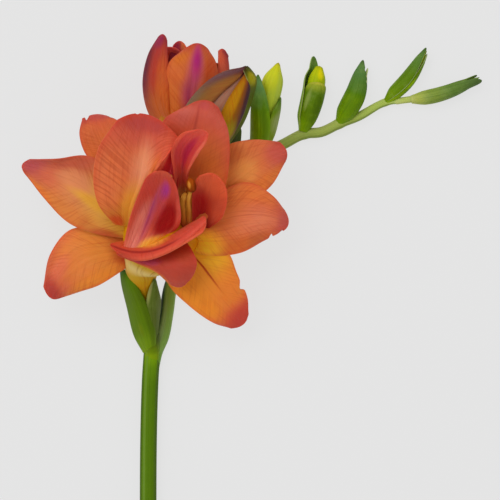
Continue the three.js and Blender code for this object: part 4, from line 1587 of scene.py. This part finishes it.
# ---- half-open flower ---------------------------------------------------------------------------
@dataclass
class HalfOpenFlower:
    """The second flower, whose tepals still stand round each other."""

    tube: Rod = Rod(
        "half_open_flower_tube",
        (
            (8.7, 25.6, 2.5),
            (8.2, 36, 4.8),
            (7.9, 45.6, 6.2),
            (7.9, 50.4, 7.4),
            (7.9, 54.7, 8.2),
            (8.2, 58.1, 8.6),
        ),
        (1.1, 1.4, 2.2, 3.8, 6, 7),
    )
    petals: tuple[Petal, ...] = (
        Petal(
            "half_open_flower_tepal_left",
            ((5.6, 49.9, 6), (-0.1, 56.2, 7), (-1.9, 63.8, 7.5), (-0.6, 71.1, 8), (2, 75.6, 8.5)),
            ((6.7, 50.4, 9.5), (2.6, 57.1, 12.5), (1, 63.8, 13.5), (1.7, 70.6, 12), (3.2, 76, 9.5)),
            ((8.2, 50.9, 11), (4.8, 57.1, 15.5), (4.6, 63.4, 16), (4.3, 69.1, 14), (4.0, 74.6, 11)),
        ),
        Petal(
            "half_open_flower_tepal_centre",
            ((5.3, 50.4, 10), (4.3, 56.6, 14.5), (3.8, 63.4, 15.5), (4.6, 69.1, 14.5), (8.6, 72.6, 12)),
            ((8.2, 50.4, 11.5), (9.1, 57.1, 16.5), (9.8, 63.8, 17), (10.6, 69.6, 15.5), (11.3, 73.8, 12)),
            ((11.5, 50.4, 9), (14.6, 57.1, 13), (16.3, 63.4, 13.5), (15.8, 69, 12.5), (13.8, 72.5, 11)),
        ),
        Petal(
            "half_open_flower_tepal_back",
            ((6.2, 50.9, 5), (3.8, 57.1, 6.5), (3.6, 63.8, 7), (4.1, 69.6, 7), (5.5, 73.5, 7.5)),
            ((8.6, 50.9, 4), (7.4, 57.1, 4.5), (6.7, 63.8, 5), (7, 70.1, 6), (7.1, 74.5, 7)),
            ((11, 50.9, 4), (11, 57.1, 5.5), (10.1, 63.8, 6), (9.4, 69.6, 7), (8.5, 73.2, 7.5)),
        ),
        Petal(
            "half_open_flower_tepal_right",
            ((11, 50.4, 8), (14.4, 57.1, 11), (16.1, 63.4, 11.5), (16.3, 68.4, 10.5), (16.3, 72, 9)),
            ((11.8, 50.4, 5.5), (16.6, 57.1, 7.5), (18.5, 63.4, 8.5), (18.6, 68.4, 8.5), (17.6, 72.5, 8.5)),
            ((11.5, 50.4, 3), (15.4, 57.1, 3.5), (17.3, 63.4, 4), (18.2, 68.2, 6), (18.8, 70.8, 8)),
        ),
        Petal(
            "half_open_flower_tepal_under",
            ((6.2, 50.4, 3.5), (1, 56.6, 3.5), (-0.5, 63.8, 4), (0.5, 69.1, 6.5), (3.4, 72.9, 9.4)),
            ((8.2, 50.4, 2.2), (7.2, 57.1, 0.9), (6.5, 63.8, 0.7), (5.8, 69.1, 3), (4.9, 73, 9)),
            ((10.6, 50.4, 3), (13.4, 57.1, 2.4), (13.2, 63.8, 2.4), (11, 68.6, 3.6), (6.2, 72.8, 8)),
        ),
        Petal(
            "half_open_flower_tepal_under_right",
            ((7.7, 50.4, 2.6), (6.7, 57.1, 1.7), (6.2, 63.8, 1.6), (8.2, 67.2, 2.6), (13.4, 69.1, 5.5)),
            ((9.6, 50.4, 2.6), (11.5, 57.1, 1.5), (12, 63.8, 1.8), (13.4, 67.2, 3), (15.4, 69.2, 6)),
            ((11.5, 50.4, 4), (15.8, 57.1, 4.8), (17, 63.8, 5.5), (17, 67.2, 6), (16.6, 69.1, 7)),
        ),
    )

    tube_finish: LeafFinish = LeafFinish(
        along=((0.0, "#7a9a30"), (0.6, "#c0a050"), (1.0, "#c06a2c")),
        ribs=0.2,
        hue=0.5,
    )

    def build(self) -> None:
        """Makes the tube and the tepals."""
        tube = self.tube_finish.material(self.tube.name)
        hand_over(rod_piece(self.tube), "half_open_flower", tube)
        for petal in self.petals:
            piece = sheet_piece(petal)
            finish = PETAL_FINISHES[petal.name]
            hand_over(piece, "half_open_flower", finish.material(petal.name))


# ---- bracts -------------------------------------------------------------------------------------
BRACT_GREEN = LeafFinish(
    along=((0.0, "#5f8a14"), (0.4, "#4c7412"), (0.8, "#4f7424"), (1.0, "#456a26")),
)


@dataclass
class BractPair:
    """The bracts at the foot of one flower, with the short sheath that they grow from."""

    node: str
    bracts: tuple[Petal, ...]
    finishes: tuple[LeafFinish, ...]
    sheath: Rod | None = None
    sheath_finish: LeafFinish = BRACT_GREEN

    def build(self) -> None:
        """Makes the bracts and their sheath."""
        for bract, finish in zip(self.bracts, self.finishes):
            hand_over(sheet_piece(bract), self.node, finish.material(bract.name))
        if self.sheath:
            piece = rod_piece(self.sheath)
            hand_over(piece, self.node, self.sheath_finish.material(self.sheath.name))


def bract(
    name: str, left: tuple[Point, ...], mid: tuple[Point, ...], right: tuple[Point, ...]
) -> Petal:
    """Makes a bract: a plain petal with a smooth edge.

    Args:
        name: the piece's name.
        left: its left edge, from root to tip.
        mid: its midrib.
        right: its right edge.

    Returns:
        The bract's sizes.
    """
    return Petal(
        name,
        left,
        mid,
        right,
        ruffle=0.05,
        groove=0.0,
        pleat=0.05,
        thick=BRACT_THICK,
        rows=64,
        columns=32,
    )


OPEN_FLOWER_BRACTS = BractPair(
    "open_flower_bracts",
    bracts=(
        bract(
            "open_flower_bract_left",
            ((-1.9, -0.8, 2), (-4.1, 3.4, 5), (-5.7, 10.1, 7.5), (-7, 15.8, 10.5), (-7.3, 18.9, 12.5)),
            ((-0.2, -0.9, 3.6), (-1.6, 4.8, 8.8), (-3.4, 10.8, 11.6), (-5.3, 15.6, 13.4), (-6.4, 19.3, 14)),
            ((1.3, -0.6, 3.6), (1, 5.4, 9), (-0.9, 11.2, 12.2), (-3.4, 15.8, 14.4), (-5.5, 19.1, 13.8)),
        ),
        bract(
            "open_flower_bract_right",
            ((-0.2, 1.2, 4.8), (-0.6, 6, 9.4), (-1, 11, 12), (-0.2, 14.9, 14.4), (0.9, 17, 15.4)),
            ((0.9, 0.8, 5), (1.1, 6.2, 9.2), (0.9, 11.4, 12), (0.9, 14.9, 13.8), (1.1, 17.1, 15.4)),
            ((1.4, 1.6, 3.6), (2, 7, 6.4), (2.5, 11.6, 9), (1.9, 14.6, 11.8), (1.3, 17, 15.2)),
        ),
    ),
    finishes=(
        LeafFinish(
            along=(
                (0.0, "#74a010"),
                (0.1, "#68960e"),
                (0.3, "#527c08"),
                (0.6, "#4e7606"),
                (0.85, "#527c30"),
                (1.0, "#4c764a"),
            ),
            patches=(
                Patch("#6a8438", 0.4, 0.26, 0.16, 0.1, 0.75),
                # painted shade on the right part
                Patch("#426406", 0.85, 0.35, 0.25, 0.5, 0.7),
            ),
            ribs=0.25,
            bloom=0.04,
            gain=0.95,
            depth=1.3,
            hue=0.475,
        ),
        LeafFinish(
            along=((0.0, "#4c6424"), (0.4, "#566c34"), (0.7, "#5c7638"), (1.0, "#4a6430")),
            patches=(
                Patch("#9ca068", 0.1, 0.72, 0.22, 0.3, 0.85),
                # painted shade on the right part
                Patch("#4c6c1e", 0.7, 0.7, 0.25, 0.3, 0.7),
            ),
            ribs=0.35,
            bloom=0.12,
            gain=0.95,
            depth=1.15,
        ),
    ),
    sheath=Rod(
        "open_flower_sheath",
        ((0.3, -6, 1.3), (0.4, -1, 2.7), (0.3, 4.6, 6)),
        (1.6, 1.7, 1.7),
        cap=0.1,
    ),
    sheath_finish=LeafFinish(
        along=((0.0, "#84ac10"), (0.5, "#80a810"), (0.62, "#6c9014"), (0.85, "#48600c"), (1.0, "#344c08")),
        ribs=0.2,
        bloom=0.06,
        gain=0.78,
        depth=1.2,
        hue=0.482,
    ),
)

COLOURED_BUD_BRACTS = BractPair(
    "coloured_bud_bracts",
    bracts=(
        bract(
            "coloured_bud_bract_upper",
            ((18.3, 49.9, 16.6), (21.5, 54.7, 18.4), (23.3, 60, 20.2), (23.5, 63.8, 23.4), (22.4, 66.9, 25)),
            ((18.9, 49.6, 14), (22.4, 54.9, 16), (24.4, 60.5, 17), (25.1, 65, 20.8), (23, 67.9, 24.4)),
            ((18.5, 49.1, 11), (22, 54.4, 12.5), (24.3, 60, 13.5), (25.3, 65, 18.2), (23.5, 68, 23.6)),
        ),
        bract(
            "coloured_bud_bract_lower",
            ((12.6, 37.6, 7), (16, 45, 10), (18.2, 49.9, 13.5), (21.1, 53, 15.5)),
            ((13.2, 37, 5.4), (18.4, 45.1, 8.5), (20.4, 49.7, 12), (21.7, 53.3, 14.5)),
            ((12.8, 36.2, 4.2), (19.6, 44.5, 5.5), (21.5, 49.3, 9), (21.8, 52.8, 12.5)),
        ),
    ),
    finishes=(
        LeafFinish(
            along=(
                (0.0, "#62702c"),
                (0.3, "#586824"),
                (0.6, "#4e5c10"),
                (0.8, "#8a8c10"),
                (0.92, "#5c6010"),
                (1.0, "#4a3c20"),
            ),
            patches=(
                Patch("#c0b818", 0.3, 0.8, 0.34, 0.16, 0.9),
                Patch("#3c4c08", 0.85, 0.7, 0.3, 0.5, 0.7),
            ),
            ribs=0.3,
            margin="#a8a878",
            margin_strength=0.7,
            margin_width=0.12,
            gain=0.85,
            hue=0.48,
        ),
        LeafFinish(
            along=((0.0, "#2c4802"), (0.6, "#203a00"), (1.0, "#345408")),
            bloom=0.0,
            gain=1.1,
            depth=1.4,
        ),
    ),
)

YELLOW_BUD_BRACTS = BractPair(
    "yellow_bud_bracts",
    bracts=(
        bract(
            "yellow_bud_bract_front",
            ((23.8, 46.1, 5), (24.1, 52.3, 6.6), (24.2, 57.6, 8), (24.5, 61.9, 9), (25.4, 65.4, 9.6)),
            ((25.4, 46.1, 6.6), (25.9, 52.3, 9.6), (25.9, 57.6, 10.2), (26, 61.9, 10.2), (26, 66.3, 10)),
            ((27.1, 46.1, 5), (28.8, 52.3, 8.6), (28.6, 57.6, 9.6), (27.7, 61.9, 10.2), (26.6, 64.8, 10)),
        ),
        bract(
            "yellow_bud_bract_back",
            ((25.6, 46.1, 5.6), (27.6, 50.8, 8), (28.6, 54.5, 8.9), (29.5, 57.4, 9.2), (31.3, 60.4, 8)),
            ((26.6, 46.1, 3.6), (29.6, 51.4, 5.6), (30.7, 55.4, 6.4), (31.2, 58.2, 6.8), (31.4, 60.9, 7.2)),
            ((26.4, 46.1, 1.8), (28.8, 51, 2.2), (30, 55, 2.8), (30.7, 58, 4), (31.3, 60.7, 6)),
        ),
    ),
    finishes=(
        LeafFinish(
            along=((0.0, "#4c7a02"), (0.35, "#4c7808"), (0.6, "#466e34"), (0.9, "#4a7048"), (1.0, "#3c5c30")),
            patches=(
                Patch("#5a8a10", 0.2, 0.25, 0.25, 0.35, 0.6),
                Patch("#34600a", 0.8, 0.35, 0.2, 0.4, 0.6),
            ),
            ribs=0.25,
            bloom=0.12,
            gain=1.66,
            depth=1.15,
        ),
        LeafFinish(
            along=((0.0, "#6c9030"), (0.5, "#6a9034"), (1.0, "#5c8440")),
            patches=(Patch("#a4b084", 0.5, 0.5, 0.6, 0.3, 0.6),),
            ribs=0.35,
            bloom=0.35,
        ),
    ),
    sheath=Rod("yellow_bud_sheath", ((25.6, 47.6, 4.4), (26.1, 50.4, 5)), (2.6, 3), cap=0.2),
)


# ---- coloured bud -------------------------------------------------------------------------------
COLOURED_BUD_ROD = Rod(
    "coloured_bud_core",
    (
        (12.6, 32.2, 2.5),
        (11, 40.8, 9.5),
        (11.3, 47.5, 16),
        (13.4, 53.8, 20),
        (17.3, 60, 22),
        (20.6, 64.3, 22.2),
        (23.3, 67.8, 22),
    ),
    (0.9, 1.3, 3.2, 6, 5.5, 3.5, 0.4),
    depth=0.8,
    rows=90,
    columns=48,
)


@dataclass
class ColouredBud:
    """The third flower, closed: two tepals roll round a third, which shows in the seam."""

    core: Rod = COLOURED_BUD_ROD
    core_finish: PetalFinish = PetalFinish(
        along=((0.0, "#7a9024"), (0.35, "#a09a2a"), (0.5, "#a87c60"), (0.8, "#9c6c58"), (1.0, "#6e2e34")),
        margin_strength=0.0,
        veins=0.3,
    )
    tepals: tuple[Shell, ...] = (
        Shell(
            "coloured_bud_tepal_left",
            COLOURED_BUD_ROD,
            left=(190, 225, 225, 220, 190, 150),
            right=(120, 108, 104, 98, 88, 76),
            lift=0.2,
            start=0.32,
        ),
        Shell(
            "coloured_bud_tepal_right",
            COLOURED_BUD_ROD,
            left=(60, 68, 74, 80, 80, 72),
            right=(-10, -50, -60, -60, -40, -10),
            lift=0.5,
            start=0.32,
        ),
    )
    finishes: tuple[PetalFinish, ...] = (
        PetalFinish(
            along=((0.0, "#9a8a30"), (0.3, "#a87a3a"), (0.7, "#9c6838"), (0.92, "#7a3c3c"), (1.0, "#5e2426")),
            patches=(
                Patch("#b8762a", 0.95, 0.55, 0.28, 0.5, 0.95),
                Patch("#7e5058", 0.5, 0.75, 0.3, 0.4, 0.9),
                Patch("#94785c", 0.5, 0.35, 0.3, 0.25, 0.8),
                Patch("#8a3038", 0.95, 0.93, 0.3, 0.1, 0.8),
            ),
            margin="#5e1c1c",
            margin_strength=0.5,
            veins=0.18,
            gain=0.57,
            depth=1.0,
        ),
        PetalFinish(
            along=((0.0, "#92900c"), (0.25, "#a08a18"), (0.5, "#ac7824"), (0.8, "#9c6030"), (1.0, "#6a3036")),
            patches=(
                Patch("#b8821c", 0.12, 0.55, 0.18, 0.45, 0.9),
                # the bud's own mauve on its flank, darkened as painted shade
                Patch("#3c202c", 0.52, 0.66, 0.38, 0.56, 1.0),
                Patch("#7c4c2c", 0.27, 0.55, 0.1, 0.4, 0.6),
                Patch("#a09408", 0.26, 0.3, 0.26, 0.2, 0.95),
            ),
            margin="#6c4a18",
            margin_strength=0.3,
            veins=0.18,
            gain=1.02,
            depth=1.08,
        ),
    )

    def build(self) -> None:
        """Makes the core with its tube and the two outer tepals."""
        core = rod_piece(self.core)
        hand_over(core, "coloured_bud", self.core_finish.material(self.core.name))
        for tepal, finish in zip(self.tepals, self.finishes):
            material = finish.material(tepal.name)
            hand_over(sheet_piece(tepal), "coloured_bud", material)


# ---- yellow bud ---------------------------------------------------------------------------------
@dataclass
class YellowBud:
    """The fourth flower, a small closed bud that has begun to turn yellow."""

    core: Rod = Rod(
        "yellow_bud_core",
        (
            (25.4, 46.7, 4.2),
            (26.2, 50.4, 5),
            (27.4, 55.7, 5.8),
            (28.8, 61.2, 6.2),
            (29.7, 65.3, 6.2),
            (30.9, 69.3, 6.2),
        ),
        (1, 1.9, 2.5, 2.6, 2.45, 0.45),
        rows=80,
        columns=48,
    )
    finish: LeafFinish = LeafFinish(
        along=(
            (0.0, "#7e9e20"),
            (0.4, "#94b02c"),
            (0.6, "#aabc38"),
            (0.8, "#b8c030"),
            (0.95, "#c2c42c"),
            (1.0, "#a8982c"),
        ),
        patches=(
            Patch("#a6bc4c", 0.36, 0.7, 0.1, 0.3, 0.6),
            Patch("#c2c82c", 0.55, 0.8, 0.14, 0.2, 0.7),
        ),
        rib="#7e9a1c",
        ribs=0.25,
        count=22,
        bloom=0.05,
        gain=1.05,
        depth=1.02,
        hue=0.495,
    )
    seams: int = 3
    seam_depth: float = 0.22
    twist: float = 0.35  # share of the way to the next seam that each turns from root to tip

    def build(self) -> None:
        """Makes the bud."""
        piece = rod_piece(self.core, self._folds)
        hand_over(piece, "yellow_bud", self.finish.material(self.core.name))

    def _folds(self, around: float, share: float) -> float:
        """Gives the height of the seams between the bud's rolled tepals.

        Args:
            around: the share of the way round it.
            share: the share of its length.

        Returns:
            The height in millimetres, which is below zero in a seam.
        """
        turn = math.cos((around * self.seams + share * self.twist) * 2 * math.pi)
        reach = smooth_step(0.35, 0.6, share) * (1 - smooth_step(0.9, 1.0, share))
        return -self.seam_depth * max(turn, 0.0) ** 8 * reach


# ---- green buds ---------------------------------------------------------------------------------
BUD_SHAPE = (0.45, 0.85, 1, 0.9, 0.6, 0.12)
OUTER_LIFT = 0.66  # how far a bud's outer bract stands off its core
INNER_LIFT = 0.28


@dataclass(frozen=True)
class BudBract:
    """One bract of a green bud: where it faces, how far it wraps and reaches, and its finish."""

    facing: float  # 0 is the bud's right side and 90 the side that faces up, in degrees
    reach: float  # to either side, in degrees
    length: float  # a share of the bud's length
    finish: LeafFinish
    lean: float = 0.0
    point: float = 2.2
    hug: float = 1.0
    start: float = 0.0
    drift: Point = (0.0, 0.0, 0.0)
    nicks: tuple[Nick, ...] = ()


@dataclass
class GreenBud:
    """A green bud that stands on the spike, wrapped in its two bracts."""

    node: str
    path: tuple[Point, Point, Point]  # foot, middle and tip
    radius: float
    outer: BudBract
    inner: BudBract
    core: LeafFinish
    shape: tuple[float, ...] = BUD_SHAPE
    bract_node: str = ""  # where the bracts are a node of their own

    def build(self) -> None:
        """Makes the bud's core and its bracts."""
        core = Rod(f"{self.node}_core", self.path, tuple(share * self.radius for share in self.shape))
        hand_over(rod_piece(core), self.node, self.core.material(core.name))
        for name, part, lift in (("outer", self.outer, OUTER_LIFT), ("inner", self.inner, INNER_LIFT)):
            leaf = Wrap(
                f"{self.node}_bract_{name}",
                core,
                part.facing,
                part.reach,
                part.length,
                lift,
                start=part.start,
                point=part.point,
                lean=part.lean,
                hug=part.hug,
                drift=part.drift,
                nicks=part.nicks,
            )
            node = self.bract_node or self.node
            hand_over(sheet_piece(leaf), node, part.finish.material(leaf.name))


GREEN_BUDS = (
    GreenBud(
        node="green_bud_1",
        path=((36.9, 52.8, 2.1), (39.4, 61, 3.2), (40.8, 68.6, 3.1)),
        radius=2.1,
        outer=BudBract(
            facing=236,
            reach=100,
            length=1.12,
            finish=LeafFinish(
                along=((0.0, "#5a8a0c"), (0.4, "#4e7a14"), (0.8, "#4f7a30"), (1.0, "#3f6828")),
                margin="#9cb070",
                margin_strength=0.5,
                gain=1.26,
                depth=1.04,
            ),
            hug=0.93,
            point=1.5,
            drift=(-0.7, 0.2, 0.3),
        ),
        inner=BudBract(
            facing=78,
            reach=112,
            length=0.73,
            finish=LeafFinish(
                along=(
                    (0.0, "#5a9002"),
                    (0.4, "#48760a"),
                    (0.75, "#4a7420"),
                    (0.92, "#86a040"),
                    (1.0, "#b0b850"),
                ),
                patches=(
                    # painted highlight: a pale grey-green streak on the left
                    Patch("#88a25c", 0.3, 0.62, 0.1, 0.32, 0.65),
                    # painted shade in the centre-right
                    Patch("#366002", 0.6, 0.5, 0.16, 0.45, 0.6),
                    Patch("#5e9804", 0.3, 0.12, 0.3, 0.2, 0.6),
                ),
                gain=1.02,
                depth=1.1,
            ),
            point=6.0,
        ),
        core=LeafFinish(
            along=(
                (0.0, "#6a9a10"),
                (0.6, "#8aa81c"),
                (0.75, "#a4b420"),
                (0.92, "#b4bc18"),
                (1.0, "#a8a81c"),
            ),
            patches=(Patch("#dcce10", 0.43, 0.87, 0.1, 0.13, 0.9),),
            ribs=0.15,
            bloom=0.0,
            hue=0.5,
        ),
        shape=(0.45, 0.85, 1, 1.01, 0.95, 0.4),
        bract_node="green_bud_1_bracts",
    ),
    GreenBud(
        node="green_bud_2",
        path=((45.6, 54.7, 1.7), (49.6, 61.6, 2.8), (51.5, 69.4, 2.6)),
        radius=1.85,
        outer=BudBract(
            facing=120,
            reach=108,
            length=1.03,
            finish=LeafFinish(
                along=(
                    (0.0, "#5c9402"),
                    (0.35, "#4e8206"),
                    (0.6, "#4c783a"),
                    (0.9, "#4c7848"),
                    (1.0, "#3c5c34"),
                ),
                margin="#b8c49c",
                margin_strength=0.8,
                margin_width=0.06,
                bloom=0.2,
            ),
            lean=-14,
            nicks=(
                Nick(Edge.RIGHT, 0.7, 0.2, 0.02),
                Nick(Edge.RIGHT, 0.78, 0.26, 0.016),
                Nick(Edge.RIGHT, 0.86, 0.3, 0.02),
            ),
        ),
        inner=BudBract(
            facing=-12,
            reach=70,
            length=0.93,
            finish=LeafFinish(
                along=((0.0, "#6a9a10"), (0.5, "#98b46c"), (1.0, "#c8d4b0")),
                margin_strength=0.8,
                margin_width=0.3,
                gain=1.2,
            ),
            hug=0.82,
        ),
        core=LeafFinish(along=((0.0, "#6a9a10"), (1.0, "#8aa81c"))),
    ),
    GreenBud(
        node="green_bud_3",
        path=((57, 59.9, 1.8), (62.4, 65.3, 2.2), (66.8, 72.3, 2.6)),
        radius=1.3,
        outer=BudBract(
            facing=165,
            reach=88,
            length=1.03,
            finish=LeafFinish(
                along=((0.0, "#5c8e14"), (0.5, "#4e7c20"), (0.85, "#4e7c3a"), (1.0, "#3f6430")),
                margin="#a4bc88",
                margin_strength=0.9,
                margin_width=0.07,
                depth=1.08,
            ),
            lean=-40,
        ),
        inner=BudBract(
            facing=-15,
            reach=104,
            length=0.96,
            finish=LeafFinish(
                along=((0.0, "#76a810"), (0.45, "#5c9406"), (0.8, "#588232"), (1.0, "#8ca870")),
                margin="#a8bc84",
                margin_strength=0.7,
                patches=(
                    Patch("#7cb40c", 0.2, 0.5, 0.12, 0.16, 0.95),
                    Patch("#9cb878", 0.32, 0.75, 0.06, 0.3, 0.8),
                ),
            ),
        ),
        core=LeafFinish(along=((0.0, "#7aa814"), (0.5, "#86ae10"), (1.0, "#7ca030")), bloom=0.05),
    ),
    GreenBud(
        node="green_bud_4",
        path=((58.8, 59.9, 1.7), (69.4, 61.7, 2), (79.6, 65.8, 2.6)),
        radius=1.1,
        outer=BudBract(
            facing=50,
            reach=112,
            length=1.01,
            finish=LeafFinish(
                along=(
                    (0.0, "#b8c86a"),
                    (0.1, "#a8bc54"),
                    (0.3, "#7c9c3c"),
                    (0.6, "#5c8434"),
                    (1.0, "#4a6c34"),
                ),
                gain=0.9,
                depth=1.0,
                hue=0.48,
            ),
            start=0.2,
            hug=0.85,
        ),
        inner=BudBract(
            facing=200,
            reach=100,
            length=0.99,
            finish=LeafFinish(along=((0.0, "#a8bc54"), (0.3, "#6c8c34"), (1.0, "#4c6c34"))),
            start=0.22,
            hug=0.85,
            drift=(-0.1, -0.25, 0.0),
        ),
        shape=(0.72, 0.72, 0.84, 1.0, 1.0, 0.92, 0.6, 0.15),
        core=LeafFinish(
            along=((0.0, "#bccb74"), (0.15, "#b4c464"), (0.35, "#84a040"), (1.0, "#6c8c34")),
            ribs=0.15,
            depth=1.0,
            hue=0.49,
        ),
    ),
)


# ---- studio -------------------------------------------------------------------------------------
@dataclass
class Studio:
    """A plain pale floor, soft light from above and a camera that looks straight down."""

    floor_half: float = 1.5  # metres
    lens: float = 600.0  # millimetres
    sensor: float = 36.0  # millimetres
    camera_over: Point = (24.0, 24.0, 2020.0)  # from the joint, in millimetres
    floor_shade: str = "#e5e5e5"
    floor_glow: float = 0.9  # share of the floor's brightness that no shadow reaches
    light_place: Point = (-0.7, 0.8, 1.6)  # metres, from the row frame's origin, which it faces
    light_size: float = 1.4  # metres across
    light_power: float = 17.0  # watts
    room_light: float = 0.6
    camera_reach: float = 10.0  # metres

    def build(self) -> None:
        """Sets up the floor, the lights and the camera."""
        self._floor()
        self._lights()
        self._camera()
        bpy.context.scene.view_settings.view_transform = "Standard"

    def _floor(self) -> None:
        """Lays the floor."""
        bpy.ops.object.select_all(action="DESELECT")
        bpy.ops.mesh.primitive_plane_add(size=2 * self.floor_half)
        floor = bpy.context.object
        floor.name = "floor"
        brush = Brush("floor")
        grey = colour(self.floor_shade)
        dim = [part * (1 - self.floor_glow) for part in grey[:3]]
        brush.shader.inputs["Base Color"].default_value = (*dim, 1.0)
        brush.shader.inputs["Roughness"].default_value = 1.0
        brush.shader.inputs["Specular IOR Level"].default_value = 0.0
        brush.shader.inputs["Emission Color"].default_value = grey
        brush.shader.inputs["Emission Strength"].default_value = self.floor_glow
        floor.data.materials.append(brush.material)

    def _lights(self) -> None:
        """Hangs one large soft light over the upper left, and fills the room with even light."""
        data = bpy.data.lights.new("soft_light", "AREA")
        data.shape = "DISK"
        data.size = self.light_size
        data.energy = self.light_power
        light = bpy.data.objects.new("soft_light", data)
        light.location = self.light_place
        light.rotation_euler = (-light.location).to_track_quat("-Z", "Y").to_euler()
        bpy.context.scene.collection.objects.link(light)
        world = bpy.data.worlds.new("room")
        world.use_nodes = True
        background = world.node_tree.nodes["Background"]
        background.inputs["Color"].default_value = (1.0, 1.0, 1.0, 1.0)
        background.inputs["Strength"].default_value = self.room_light
        bpy.context.scene.world = world

    def _camera(self) -> None:
        """Sets the camera over the flower, with the spike's side of it up."""
        data = bpy.data.cameras.new("camera")
        data.lens = self.lens
        data.sensor_width = self.sensor
        data.clip_end = self.camera_reach
        camera = bpy.data.objects.new("camera", data)
        camera.location = (JOINT + Vector(self.camera_over)) * MM
        bpy.context.scene.collection.objects.link(camera)
        bpy.context.scene.camera = camera


# ---- the whole ----------------------------------------------------------------------------------
def main() -> None:
    """Builds the studio and the flower."""
    logging.basicConfig(level=logging.INFO, format="%(message)s")
    Studio().build()
    Stem().build()
    OpenFlower().build()
    HalfOpenFlower().build()
    ColouredBud().build()
    YellowBud().build()
    for bud in GREEN_BUDS:
        bud.build()
    for pair in (OPEN_FLOWER_BRACTS, COLOURED_BUD_BRACTS, YELLOW_BUD_BRACTS):
        pair.build()


if __name__ == "__main__":
    main()
